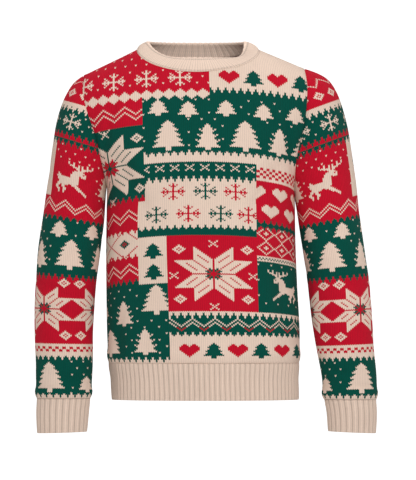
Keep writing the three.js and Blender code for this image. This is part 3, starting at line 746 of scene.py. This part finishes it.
class Cloth:
    """A knitted material, with its yarn colours from the mesh and its stitches from the UV map."""

    def __init__(self, name):
        self.material = bpy.data.materials.new(name)
        self.material.use_nodes = True
        self.nodes, self.links = self.material.node_tree.nodes, self.material.node_tree.links
        self.shader = self.nodes["Principled BSDF"]

    def add(self, kind, settings=None, inputs=None, output=0):
        node = self.nodes.new(kind)
        for name, value in (settings or {}).items():
            setattr(node, name, value)
        for name, value in (inputs or {}).items():
            if isinstance(value, Signal):
                self.links.new(value.socket, node.inputs[name])
            else:
                node.inputs[name].default_value = value
        return Signal(self, node.outputs[output])

    def feed(self, name, signal):
        self.links.new(signal.socket, self.shader.inputs[name])


def knit_material(name, relief, sheen):
    """Soft yarn in V-shaped stitches: two rounded legs to a stitch, with a deeper line between
    the columns, and fine fuzz. The colour comes from the yarn of each stitch, with painted shade in the hollows
    of the stitches."""
    cloth = Cloth(name)
    stitches = cloth.add("ShaderNodeUVMap", {"uv_map": "stitches"})
    u = cloth.add("ShaderNodeSeparateXYZ", inputs={0: stitches}, output=0)
    v = cloth.add("ShaderNodeSeparateXYZ", inputs={0: stitches}, output=1)
    place = cloth.add("ShaderNodeTexCoord", output=3)
    fuzz = cloth.add("ShaderNodeTexNoise", inputs={"Vector": place, "Scale": 1400, "Detail": 3})
    uneven = cloth.add("ShaderNodeTexNoise", inputs={"Vector": place, "Scale": 260, "Detail": 2})
    broad = cloth.add("ShaderNodeTexNoise", inputs={"Vector": place, "Scale": 9, "Detail": 3})
    sway = (uneven - 0.5) * 0.16
    u, v = u + sway, v + sway
    columns = abs((u * math.pi).sine()) ** 0.45
    legs = abs((u * (2 * math.pi)).sine()) ** 0.7
    hang = abs(u.fraction() * 2 - 1) * 2 - 1
    turn = (v - hang * CHEVRON).fraction()
    loops = (turn * math.pi).sine() ** 0.6
    height = columns * 0.5 + legs * (loops * 0.35 + 0.15)
    yarn = cloth.add("ShaderNodeAttribute", {"attribute_name": "yarn"})
    # Painted shade: the yarn's colour is darkened where the stitch's height is low, in the hollows between the
    # legs and the columns; the two noises make the yarn's tone uneven.
    shade = (height * 0.52 + 0.6) * (fuzz * 0.24 + 0.88) * (broad * 0.16 + 0.92)
    grey = cloth.add("ShaderNodeCombineXYZ", inputs={0: shade, 1: shade, 2: shade})
    colour = cloth.add("ShaderNodeVectorMath", {"operation": "MULTIPLY"}, {0: yarn, 1: grey})
    cloth.feed("Base Color", colour)
    cloth.feed("Roughness", fuzz * 0.16 + 0.78)
    bump = cloth.add("ShaderNodeBump", inputs={
        "Strength": relief, "Distance": 0.001, "Height": height + fuzz * 0.2})
    cloth.feed("Normal", bump)
    cloth.shader.inputs["Sheen Weight"].default_value = sheen
    cloth.shader.inputs["Sheen Roughness"].default_value = 0.5
    cloth.shader.inputs["Specular IOR Level"].default_value = 0.08
    return cloth.material


def reverse_material():
    """The inside of a jacquard, where the yarns that aren't shown are speckled over each other."""
    cloth = Cloth("jacquard_reverse")
    stitches = cloth.add("ShaderNodeUVMap", {"uv_map": "stitches"})
    u = cloth.add("ShaderNodeSeparateXYZ", inputs={0: stitches}, output=0)
    v = cloth.add("ShaderNodeSeparateXYZ", inputs={0: stitches}, output=1)
    turn = ((u.maths("FLOOR") + v.maths("FLOOR") * 2) / 3).fraction()
    purl = abs((v * math.pi).sine()) * abs((u * math.pi).sine())
    cream, green, red = (cloth.add("ShaderNodeCombineXYZ", inputs=dict(enumerate(c))) for c in YARNS)
    first = cloth.add("ShaderNodeMix", {"data_type": "RGBA"},
                      {0: turn.maths("GREATER_THAN", 0.2), 6: cream, 7: green}, output=2)
    both = cloth.add("ShaderNodeMix", {"data_type": "RGBA"},
                     {0: turn.maths("GREATER_THAN", 0.5), 6: first, 7: red}, output=2)
    # Painted shade: the yarns are darkened in the hollows between the purl stitches.
    shade = purl * 0.4 + 0.6
    grey = cloth.add("ShaderNodeCombineXYZ", inputs={0: shade, 1: shade, 2: shade})
    cloth.feed("Base Color", cloth.add("ShaderNodeVectorMath", {"operation": "MULTIPLY"}, {0: both, 1: grey}))
    cloth.feed("Normal", cloth.add("ShaderNodeBump", inputs={
        "Strength": 0.7, "Distance": 0.0008, "Height": purl}))
    cloth.feed("Roughness", purl * 0.1 + 0.85)
    return cloth.material


JACQUARD = knit_material("jacquard_knit", relief=0.8, sheen=0.02)
REVERSE = reverse_material()


def close_wall(piece):
    """Turns the cloth's edges: joins each edge of the outer skin to that of the inner skin."""
    work = bmesh.new()
    work.from_mesh(piece.data)
    yarn = work.loops.layers.float_color["yarn"]
    loose = {edge for edge in work.edges if len(edge.link_faces) == 1}
    outlines = {0: [], 1: []}
    while loose:
        edge = loose.pop()
        corner = edge.link_loops[0]
        line = [corner.vert, corner.link_loop_next.vert]
        skin, colour = edge.link_faces[0].material_index, corner[yarn].copy()
        while line[-1] is not line[0]:
            edge = next(e for e in line[-1].link_edges if e in loose)
            loose.discard(edge)
            line.append(edge.other_vert(line[-1]))
        if len(line) > 12:
            outlines[skin].append((line[:-1], colour))
        else:  # a scrap of a stitch at the shoulder's tip
            bmesh.ops.delete(work, geom=list(set(line)), context="VERTS")
    for outer, colour in outlines[0]:
        inner = min((line for line, _ in outlines[1]),
                    key=lambda line: min((v.co - outer[0].co).length for v in line))[::-1]
        start = min(range(len(inner)), key=lambda i: (inner[i].co - outer[0].co).length)
        inner = inner[start:] + inner[:start]
        i = j = 0
        while i < len(outer) or j < len(inner):
            o, o_next = outer[i % len(outer)], outer[(i + 1) % len(outer)]
            p, p_next = inner[j % len(inner)], inner[(j + 1) % len(inner)]
            longer = (o_next.co - p.co).length > (p_next.co - o.co).length
            if i < len(outer) and not (longer and j < len(inner)):
                rim = work.faces.new((o_next, o, p))
                i += 1
            else:
                rim = work.faces.new((o, p, p_next))
                j += 1
            for corner in rim.loops:
                corner[yarn] = colour
    work.to_mesh(piece.data)
    work.free()


CHARTS = {FRONT: front_chart(), BACK: back_chart()}
for face, node in ((FRONT, "front"), (BACK, "back")):
    halves = [Torso(side, face) for side in (RIGHT, LEFT)]
    skins = [knit_half(half, BODY_ROWS, half.side * face > 0) for half in halves]
    skins += [knit_half(half, BODY_ROWS, half.side * face > 0, step=4) for half in halves]
    panel = knit_mesh(node + "_panel", skins, CHARTS[face], YARNS)
    panel.data.materials.append(JACQUARD)
    panel.data.materials.append(REVERSE)
    close_wall(panel)
    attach(panel, "root")
    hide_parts(node)

# Sleeves
# One jacquard panel each, knitted from the cuff up and joined to a tube under the arm. The rows
# follow the slant of the arm, and the cloth blouses a little over the cuff.
SLEEVE_HALF_STITCHES = 56
FOLDED = ["around", "height", "lean", "length", "width", "depth"]
ARM_RADIUS = 60  # turns an angle into a distance around, for the folds
SLEEVE_FOLDS = {
    LEFT: table(FOLDED, [
        (118, -205, -62, 38, 9, 5), (60, -470, 70, 45, 11, 3.5), (120, -640, 75, 40, 9, 3.5),
        (270, -450, 78, 55, 11, 4.5), (100, -160, -50, 30, 8, 2.5), (125, -240, -60, 34, 9, 3),
        (80, -360, 66, 44, 12, 2), (95, -540, 60, 40, 10, 2), (40, -600, -70, 36, 9, 1.8),
        (60, -672, 84, 48, 6, 2.2), (240, -620, -75, 46, 9, 2.4), (300, -320, 60, 50, 14, 2),
        (150, -420, -55, 40, 10, 2.5), (20, -300, 40, 60, 14, 1.2),
    ]),
    RIGHT: table(FOLDED, [
        (125, -215, 55, 34, 9, 4.5), (75, -480, -70, 45, 11, 3.5), (95, -655, -78, 40, 9, 3),
        (270, -430, -76, 55, 11, 4.5), (110, -150, 48, 32, 8, 2.2), (120, -262, 62, 30, 8, 2.4),
        (70, -350, -60, 46, 12, 1.8), (100, -560, -64, 42, 10, 2.2), (45, -610, 68, 40, 9, 1.6),
        (60, -676, -84, 46, 6, 2), (250, -600, 74, 48, 9, 2.4), (300, -300, -60, 50, 14, 2),
        (150, -400, 56, 40, 10, 2.4), (15, -260, -38, 60, 14, 1.2),
    ]),
}


class Arm:
    """The front or back half of a sleeve: places by row and by distance from the outer line."""

    SAMPLES = 180

    def __init__(self, side, face):
        self.side, self.face, self.mirror = side, face, -face * side
        self.tube, seam = SLEEVES[side], SEAMS[side]
        self.end = self.tube["along"][-1]
        self.count = round(self.end / ROW)
        self.alongs = np.linspace(0, self.end, 640)
        limit = np.interp(self.alongs, seam["along"][::-1], seam["angle"][::-1], right=np.pi)
        share = np.linspace(0, 1, self.SAMPLES + 1)
        angles = limit[:, None] * share
        line = tube(self.tube, side, self.alongs[:, None] + 0 * angles, -self.face * angles)
        run = np.cumsum(np.linalg.norm(np.diff(line, axis=1), axis=-1), axis=1)
        run = np.hstack([np.zeros((len(run), 1)), run])
        self.reach = run[:, -1]
        self.widest = self.reach.max()
        self.angles = np.array([np.interp(share * r[-1], r, a) for r, a in zip(run, angles)])

    def along(self, row):
        return self.end * (1 - row / self.count)

    def room(self, row, across):
        return np.interp(self.along(row), self.alongs, self.reach) - across

    def stitch(self, row):
        return STITCH + 0 * row

    def surface(self, row, across):
        along = self.along(row)
        reach = np.interp(along, self.alongs, self.reach)
        i = np.clip(along / self.end, 0, 1) * (len(self.alongs) - 1.001)
        j = np.clip(across / np.maximum(reach, 1e-6), 0, 1) * (self.SAMPLES - 0.001)
        a, b = i.astype(int), j.astype(int)
        fi, fj = i - a, j - b
        angle = -self.face * (
            self.angles[a, b] * (1 - fi) * (1 - fj) + self.angles[a, b + 1] * (1 - fi) * fj
            + self.angles[a + 1, b] * fi * (1 - fj) + self.angles[a + 1, b + 1] * fi * fj)
        place = tube(self.tube, self.side, along, angle)
        around = (tube(self.tube, self.side, along, angle + 0.03)
                  - tube(self.tube, self.side, along, angle - 0.03))
        down = tube(self.tube, self.side, along + 3, angle) - tube(self.tube, self.side, along - 3, angle)
        normal = np.cross(around, down) * self.side
        normal /= np.linalg.norm(normal, axis=-1, keepdims=True) + 1e-12
        degrees = np.degrees(angle) % 360
        folds = dict(SLEEVE_FOLDS[self.side], across=np.radians(SLEEVE_FOLDS[self.side]["around"]) * ARM_RADIUS)
        depth = fold_depth(folds, np.radians(degrees) * ARM_RADIUS, place[..., 2],
                           2 * np.pi * ARM_RADIUS)
        lean = (np.interp(along + 4, self.alongs, self.reach)
                - np.interp(along - 4, self.alongs, self.reach)) / 8
        joined = np.clip(1 - (along - SEAMS[self.side]["along"][0]) / 15, 0, 1)
        to_seam = (reach - across) / np.hypot(1, lean)
        to_cuff = self.end - along
        edge = 1 - joined * (1 - np.clip(to_seam / 12, 0, 1))
        place = link(self.side, place, to_seam, joined)
        place[..., 0] -= self.side * LAP * joined * np.exp(-(to_seam**2))
        out = -depth * edge * np.clip(to_cuff / 14, 0, 1)
        out -= 0.9 * (1 - joined) * np.exp(-((to_seam / 3) ** 2))
        out += 2.4 * np.exp(-(((to_cuff - 13) / 9) ** 2)) - 1.5 * np.exp(-((to_cuff / 3) ** 2))
        return place + normal * out[..., None], normal


def sleeve_chart(rows, side):
    """From the cuff up. The two sleeves mirror each other, and step round the arm."""
    last = SLEEVE_HALF_STITCHES + 2
    chart = Chart(last, rows, GREEN)

    def field(x0, x1, y0, y1, yarn):
        chart.field(*sorted((side * x0, side * x1)), y0, y1, yarn)

    chart.teeth(-last, last, 0, 4, CREAM)
    chart.lice(-last, last, 6, 34, 7, 5, CREAM)
    chart.clear_stamps(GREEN, CREAM, [(side * x, 5, motif) for x, motif in (
        (-44, SLIM_FIR), (-24, SMALL_FIR), (-6, SLIM_FIR), (14, FIR), (36, SMALL_FIR), (52, SLIM_FIR))])
    chart.field(-last, last, 34, 42, CREAM)
    chart.checks(-last, last, 36, 40, 2, RED)
    chart.teeth(-last, last, 34, -3, CREAM)
    # Roses on red in front, and diamonds on cream behind.
    field(-4, last, 42, 96, RED)
    for x in (13, 46):
        chart.rose(side * x, 68, 8, CREAM)
        chart.rose(side * x, 68, 2, GREEN)
        chart.veins(side * x, 68, 8, RED)
        for y in (45, 85):
            for across in (-12, 12):
                chart.stamp(side * x + across, y, DIAMOND, CREAM)
    field(-last, -4, 42, 96, CREAM)
    chart.lattice(*sorted((side * -last, side * -4)), 46, 92, 22, GREEN, side * -15)
    for x in (-15, -37):
        for y in (53, 75):
            chart.stamp(side * x, y, DIAMOND, RED)
    chart.teeth(*sorted((side * -last, side * -4)), 42, 3, RED)
    chart.teeth(-last, last, 96, -4, GREEN)
    # Firs in the snow.
    chart.field(-last, last, 96, 140, GREEN)
    chart.lice(-last, last, 98, 138, 7, 5, CREAM)
    chart.clear_stamps(GREEN, CREAM, [(side * x, y, motif) for x, y, motif in (
        (-50, 99, FIR), (-30, 99, SLIM_FIR), (-12, 99, FIR), (8, 99, SLIM_FIR), (28, 99, FIR),
        (48, 99, SLIM_FIR), (-40, 124, SMALL_FIR), (-20, 123, SMALL_FIR), (0, 124, SMALL_FIR),
        (20, 123, SMALL_FIR), (40, 124, SMALL_FIR))])
    # Zigzags, then a deer on red beside hearts on cream.
    chart.field(-last, last, 140, 152, RED)
    chart.teeth(-last, last, 140, -3, RED)
    chart.zigzag(-last, last, 141, 12, 1, CREAM)
    chart.zigzag(-last, last, 144, 12, 1, CREAM)
    field(-last, 10, 152, 196, CREAM)
    for x in (-48, -30, -12):
        chart.stamp(side * x, 156, HEART, RED)
        chart.stamp(side * (x + 9), 170, FLAKE, GREEN)
        chart.stamp(side * x, 184, CROSS, RED)
    field(10, last, 152, 196, RED)
    chart.lice(*sorted((side * 10, side * last)), 154, 194, 6, 5, CREAM)
    chart.clear_stamps(RED, CREAM, [(side * 26, 156, DEER), (side * 48, 158, SLIM_FIR)])
    chart.teeth(-last, last, 196, -4, GREEN)
    # The cap: green with snowflakes, then red with crosses.
    chart.field(-last, last, 196, rows, GREEN)
    chart.teeth(-last, last, 196, 4, RED)
    chart.lice(-last, last, 202, rows, 7, 5, CREAM)
    for x in (-38, -19, 0, 19, 38):
        chart.field(x - 7, x + 8, 202, 218, GREEN)
        chart.stamp(x, 203, FLAKE, CREAM)
    chart.field(-last, last, 222, rows, RED)
    chart.teeth(-last, last, 222, -4, CREAM)
    chart.field(-last, last, 222, 224, CREAM)
    chart.repeat(-30, 31, 10, 228, DIAMOND, CREAM)
    chart.zigzag(-36, 36, 238, 12, 1, CREAM)
    return chart.grid


for side, name in ((RIGHT, "right"), (LEFT, "left")):
    halves = [Arm(side, face) for face in (FRONT, BACK)]
    rows = halves[0].count
    skins = [knit_half(half, rows, half.side * half.face < 0) for half in halves]
    skins += [knit_half(half, rows, half.side * half.face < 0, step=4) for half in halves]
    sleeve = knit_mesh("sleeve_panel_" + name, skins, sleeve_chart(rows, side), YARNS)
    sleeve.data.materials.append(JACQUARD)
    sleeve.data.materials.append(REVERSE)
    close_wall(sleeve)
    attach(sleeve, "root")
    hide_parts("sleeve_" + name)

# Hem rib
# A single rib band in cream, knitted in one with 96 ribs and linked to the body's lower edge.
# Beside the wearer's right side seam the ribs run out into a plain strip, where it is joined.
HEM_BOTTOM = -698
HEM_RIBS = 96
RIB_RISE = 2.1
RIB_CLOTH = 2.2
POINTS_A_RIB = 8


def rib_shape(turn):
    """A rib's rounded crown and the narrow valley beside it, from 0 to 1, over one turn."""
    return np.abs(np.sin(np.pi * turn)) ** 0.7


def band_mesh(name, places, stitches, shade, material):
    """A closed band from profiles that stand in a ring; places is around by profile by 3.

    shade is painted light and shade multiplied into the cream yarn: darker where the yarn lies deep
    between two ribs, and lighter or darker over whole stretches as light falls on them. On the
    neckband it also holds the dark linking stitches, which are the cloth's own."""
    around, points = places.shape[:2]
    index = np.arange(around * points).reshape(around, points)
    after, beside = np.roll(index, -1, axis=0), np.roll(index, -1, axis=1)
    faces = np.stack([index, after, np.roll(after, -1, axis=1), beside], axis=-1).reshape(-1, 4)
    uv = stitches.reshape(-1, 2)[faces].copy()
    for axis in (0, 1):  # the seam of the ring goes on counting instead of running back
        span = stitches[..., axis].max() + (stitches[1, 0, axis] - stitches[0, 0, axis] if axis == 0 else 0)
        behind = uv[..., axis].max(axis=1) - uv[..., axis].min(axis=1) > span / 2
        low = uv[..., axis] < span / 2
        uv[..., axis] += np.where(behind[:, None] & low, span, 0)
    mesh = bpy.data.meshes.new(name)
    mesh.from_pydata((places.reshape(-1, 3) * MM).tolist(), [], faces.tolist())
    mesh.polygons.foreach_set("use_smooth", np.ones(len(faces), bool))
    mesh.uv_layers.new(name="stitches").data.foreach_set("uv", uv.reshape(-1, 2).ravel())
    # The 'yarn' colour of a band is the cream yarn times shade, so it holds painted light and shade.
    yarn = np.ones((around * points, 4))
    yarn[:, :3] = np.array(YARNS[CREAM]) * shade.reshape(-1, 1)
    mesh.color_attributes.new("yarn", "FLOAT_COLOR", "POINT").data.foreach_set("color", yarn.ravel())
    mesh.update()
    a, b, c = (places.reshape(-1, 3)[faces[:, i]] for i in (0, 1, 2))
    if np.einsum("ij,ij->i", a, np.cross(b, c)).sum() < 0:
        mesh.flip_normals()
    mesh.materials.append(material)
    piece = bpy.data.objects.new(name, mesh)
    bpy.context.collection.objects.link(piece)
    return piece


def body_girth(turns, height):
    """Places round the body's lower edge, by turns from the wearer's left over the front."""
    angle = (2 * np.pi * turns) % (2 * np.pi)
    share = abs((angle % np.pi) / (np.pi / 2) - 1)
    places = np.zeros((len(turns), 3))
    for face in (FRONT, BACK):
        for side in (RIGHT, LEFT):
            mine = ((np.sin(angle) >= 0) == (face == FRONT)) & ((np.cos(angle) >= 0) == (side == LEFT))
            half = TORSOS[side, face]
            places[mine] = half.place(share[mine] * half.reach[0], np.full(mine.sum(), float(height)))
    return places


TORSOS = {(side, face): Torso(side, face) for side in (RIGHT, LEFT) for face in (FRONT, BACK)}
RIB = knit_material("rib_knit", relief=0.7, sheen=0.03)


def wall_profile(outer_rows, inner_rows, lip):
    """Down the outside, round the rolled edge and up the inside: share of height and of wall."""
    outside = [(share, 0.0) for share in np.linspace(0, 1, outer_rows)]
    turned = [(1 + lip * math.sin(a), (1 - math.cos(a)) / 2) for a in np.linspace(0.4, math.pi - 0.4, 4)]
    inside = [(share, 1.0) for share in np.linspace(1, 0, inner_rows)]
    return np.array(outside + turned + inside)


def hem_band():
    count = HEM_RIBS * POINTS_A_RIB
    turns = np.arange(count) / count
    edge = body_girth(turns, HEM_TOP)
    centre = follow(TORSO, "height", HEM_TOP, "centre")
    out = np.stack([np.cos(2 * np.pi * turns), -np.sin(2 * np.pi * turns), 0 * turns], axis=-1)
    plain = np.exp(-(((turns - 0.4715) / 0.028) ** 10))  # 1 on the strip, 0 on the ribs
    rib = rib_shape(turns * HEM_RIBS) * (1 - plain) + 0.3 * plain
    profile = wall_profile(22, 9, 0.012)
    drop, wall = profile[:, 0], profile[:, 1]
    draw = 1 - 0.008 - 0.018 * np.clip(drop * 2, 0, 1) ** 2 * (3 - 2 * np.clip(drop * 2, 0, 1))
    places = np.empty((count, len(profile), 3))
    places[..., 0] = centre + (edge[:, :1] - centre) * draw + 2 * drop
    places[..., 1] = edge[:, 1:2] * draw
    places[..., 2] = HEM_TOP + (HEM_BOTTOM - HEM_TOP) * np.minimum(drop, 1.02)
    ease = 0.55 + 0.45 * np.sin(np.pi * np.clip(drop, 0, 1)) ** 0.5
    rise = RIB_RISE * rib[:, None] * ease * (1 - wall) + (-RIB_CLOTH + 0.9 * rib[:, None]) * wall
    sway = 0.9 * np.sin(turns * 2 * np.pi * 5 + 1)[:, None] * drop + 0.5 * np.sin(turns * 2 * np.pi * 11)[:, None] * drop
    places += out[:, None] * (rise + sway)[..., None]
    stitches = np.stack(np.broadcast_arrays(
        (turns * HEM_RIBS * 3)[:, None], np.cumsum(np.full(len(profile), 1.3))[None]), axis=-1)
    # Painted shade: the yarn is darker in the valleys between the ribs, and the whole plain strip is darkened
    # as if it lay in shade.
    shade = (0.7 + 0.3 * rib) * (1 - plain) + 0.8 * plain
    depth = np.broadcast_to(shade[:, None], places.shape[:2])
    return band_mesh("hem_band", places, stitches, depth, RIB)


hem = hem_band()
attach(hem, "root")
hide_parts("hem_rib")

# Cuffs
# A cream rib band on each sleeve, with 24 ribs, a little narrower than the sleeve that it gathers.
CUFF_RIBS = 24
CUFFS = {
    RIGHT: table(SLEEVE_COLUMNS, [
        (320, -696.3, 216, -696.3, 37, 16), (321, -725, 219, -724, 35, 16), (320, -765, 222, -762, 33, 15)]),
    LEFT: table(SLEEVE_COLUMNS, [
        (355, -698.3, 254, -698.3, 37, 17), (356, -727, 259, -726, 35, 17), (355, -765, 261, -761, 33, 16)]),
}


def cuff_band(side, name):
    rows = CUFFS[side]
    measure_along(rows)
    count = CUFF_RIBS * POINTS_A_RIB
    turns = np.arange(count) / count
    profile = wall_profile(20, 9, 0.014)
    drop, wall = profile[:, 0], profile[:, 1]
    angle = 2 * np.pi * turns[:, None] + 0 * drop
    along = rows["along"][-1] * np.minimum(drop, 1)[None] + 0 * angle
    places = tube(rows, side, along, angle)
    places[..., 2] -= 60 * np.maximum(drop - 1, 0)
    out = np.stack([side * np.cos(angle), -np.sin(angle), 0 * angle], axis=-1)
    rib = rib_shape(turns * CUFF_RIBS)[:, None]
    ease = 0.5 + 0.5 * np.sin(np.pi * np.clip(drop * 0.9 + 0.1, 0, 1)) ** 0.5
    rise = RIB_RISE * rib * ease * (1 - wall) + (-RIB_CLOTH + 0.9 * rib) * wall
    places += out * rise[..., None]
    stitches = np.stack(np.broadcast_arrays(
        (turns * CUFF_RIBS * 3)[:, None], np.cumsum(np.full(len(profile), 1.3))[None]), axis=-1)
    # Painted shade: depth darkens the yarn in the valleys between the ribs.
    depth = np.broadcast_to(0.7 + 0.3 * rib, places.shape[:2])
    return band_mesh("cuff_band_" + name, places, stitches, depth, RIB)


for side, name in ((RIGHT, "right"), (LEFT, "left")):
    cuff = cuff_band(side, name)
    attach(cuff, "root")
    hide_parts("cuff_" + name)

# Neckband
# A cream rib band folded double over the neckline and linked down all round. The outer layer is
# stretched nearly smooth, the inner one shows its 56 ribs, and the fold leans in to the neck.
NECK_RIBS = 56
FOLD_OUT, FOLD_DEPTH = {RIGHT: 100, LEFT: 94}, {FRONT: 70, BACK: 71}
FOLD_CLIMB = {RIGHT: 4.5, LEFT: 17}  # how sharply the fold climbs to the shoulders
FOLD_HEIGHT = {"side": 19, FRONT: -16, BACK: 17.5}
NECK_CLOTH = 3.0
NECK_ROLL = {"side": 8.5, FRONT: 4.5, BACK: 3.2}  # the fold is puffed up most on the shoulders


def neck_band():
    count = NECK_RIBS * POINTS_A_RIB
    turns = np.arange(count) / count
    across = np.where(turns < 0.5, 4 * turns - 1, 3 - 4 * turns)  # -1 to 1 over the front, and back
    foot, fold, inward = (np.zeros((count, 3)) for _ in range(3))
    share = np.linspace(0, 1, 201)
    for (side, face), half in TORSOS.items():
        mine = ((turns < 0.5) == (face == FRONT)) & ((across >= 0) == (side == LEFT))
        a, turn = abs(across[mine]), across[mine] * np.pi / 2
        foot[mine] = half.place(
            np.interp(a, share, half.neck_across), np.interp(a, share, half.neck_height))
        climb = abs(np.sin(turn)) ** FOLD_CLIMB[side]
        fold[mine] = np.stack([
            FOLD_OUT[side] * np.sin(turn), face * FOLD_DEPTH[face] * np.cos(turn),
            FOLD_HEIGHT[face] + (FOLD_HEIGHT["side"] - FOLD_HEIGHT[face]) * climb], axis=-1)
        inward[mine] = np.stack([
            -0.45 * np.sin(turn), -0.9 * face * np.cos(turn), -0.4 - 0.5 * np.sin(turn) ** 2], axis=-1)
    up = fold - foot
    tall = np.linalg.norm(up, axis=-1)[:, None]
    up /= tall
    out = np.cross(up, np.cross(inward, up))
    out *= -np.sign((out * inward).sum(axis=-1, keepdims=True))
    out /= np.linalg.norm(out, axis=-1, keepdims=True)
    roll = np.where(turns < 0.5, NECK_ROLL[FRONT], NECK_ROLL[BACK])[:, None]
    roll = roll + (NECK_ROLL["side"] - roll) * across[:, None] ** 4
    # Up the outer layer, round the fold and down the inner layer: share of height, layer, cap.
    steps = np.linspace(0, 1, 24)
    cap = np.linspace(0.25, math.pi - 0.25, 8)
    rows = [(step, 0, 0) for step in steps] + [(1, (1 - math.cos(a)) / 2, math.sin(a)) for a in cap]
    rows += [(step, 1, 0) for step in steps[::-3]]
    height, layer, round_top = np.array(rows).T
    rib = rib_shape(turns * NECK_RIBS)[:, None]
    puff = 3 * np.sin(np.pi * height**0.85) ** 0.8
    thick = NECK_CLOTH + (roll - NECK_CLOTH) * height**1.5
    relief = rib * np.select([layer == 0, layer == 1], [0.15, -1.2], 0.5)
    foot_pull = -0.7 * np.exp(-((height / 0.05) ** 2)) * (layer == 0)
    rise = height * (tall - 0.45 * roll - 1) + (0.45 * roll + 1.2 * rib) * round_top
    places = (foot[:, None] + up[:, None] * rise[..., None]
              + out[:, None] * (puff + foot_pull + relief - layer * thick)[..., None])
    stitches = np.stack(np.broadcast_arrays(
        (turns * NECK_RIBS * 3)[:, None], np.cumsum(np.full(len(rows), 0.6))[None]), axis=-1)
    # Painted light and shade: the inner layer's yarn is made lighter than the yarn itself, as painted light on
    # the inside of the collar, and both layers are a little darker in the valleys between the ribs, as painted
    # shade.
    shade = np.where(layer == 0, 0.97 + 0.03 * rib, 1.08 + 0.14 * rib)
    dashes = 0.5 + 0.5 * np.sin(turns * NECK_RIBS * 4 * np.pi)[:, None]
    # The line of linking above the foot, and the chain of stitches just below the fold.
    for level, reach, strength in ((0.09, 0.025, 0.35), (0.9, 0.03, 0.6)):
        line = np.exp(-(((height - level) / reach) ** 2)) * (layer == 0)
        shade = shade * (1 - strength * line * (0.4 + 0.6 * dashes))
    return band_mesh("neck_band", places, stitches, shade, RIB)


neck = neck_band()
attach(neck, "root")
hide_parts("neckband")

# Studio
# A plain pale floor under the garment, white paper far behind it, and soft lamps from above. The
# camera is level with the middle of the garment, and far off, as the photograph's shapes show.
DISTANCE = 12.0
camera = bpy.data.objects.new("camera", bpy.data.cameras.new("camera"))
bpy.context.collection.objects.link(camera)
camera.location = (0.0204, -DISTANCE, -0.38)
camera.rotation_euler = (math.radians(90), 0, 0)
camera.data.sensor_width = camera.data.sensor_height = 36
camera.data.sensor_fit = "VERTICAL"
camera.data.lens = 36 * DISTANCE / 0.96
bpy.context.scene.camera = camera


def paper(name, corners, colour, glow):
    sheet = bpy.data.meshes.new(name)
    sheet.from_pydata(corners, [], [(0, 1, 2, 3)])
    material = bpy.data.materials.new(name)
    material.use_nodes = True
    shader = material.node_tree.nodes["Principled BSDF"].inputs
    shader["Base Color"].default_value = (colour, colour, colour, 1)
    shader["Roughness"].default_value = 0.9
    shader["Emission Color"].default_value = (1, 1, 1, 1)
    shader["Emission Strength"].default_value = glow
    sheet.materials.append(material)
    piece = bpy.data.objects.new(name, sheet)
    bpy.context.collection.objects.link(piece)


paper("floor", [(-3, -3, -1), (3, -3, -1), (3, 3, -1), (-3, 3, -1)], 0.8, 0)
paper("backdrop", [(-8, 26, -8), (8, 26, -8), (8, 26, 8), (-8, 26, 8)], 0.8, 0.7)
world = bpy.data.worlds.new("studio")
bpy.context.scene.world = world
world.use_nodes = True
world.node_tree.nodes["Background"].inputs["Color"].default_value = (1, 1, 1, 1)
world.node_tree.nodes["Background"].inputs["Strength"].default_value = 0.55
bpy.context.scene.view_settings.view_transform = "Standard"
for name, place, size, power in (
    ("key", (1.5, -3.1, 1.7), 1.8, 36), ("top", (0, 0.2, 2.6), 1.8, 26),
    ("front", (0.5, -3.6, 0.3), 1.6, 26), ("fill", (-2.2, -2.8, 0.6), 2.4, 9),
):
    lamp = bpy.data.objects.new(name, bpy.data.lights.new(name, "AREA"))
    bpy.context.collection.objects.link(lamp)
    lamp.location = place
    lamp.data.size, lamp.data.energy = size, power
    lamp.rotation_euler = (Vector((0, 0, -0.3)) - Vector(place)).to_track_quat("-Z", "Y").to_euler()
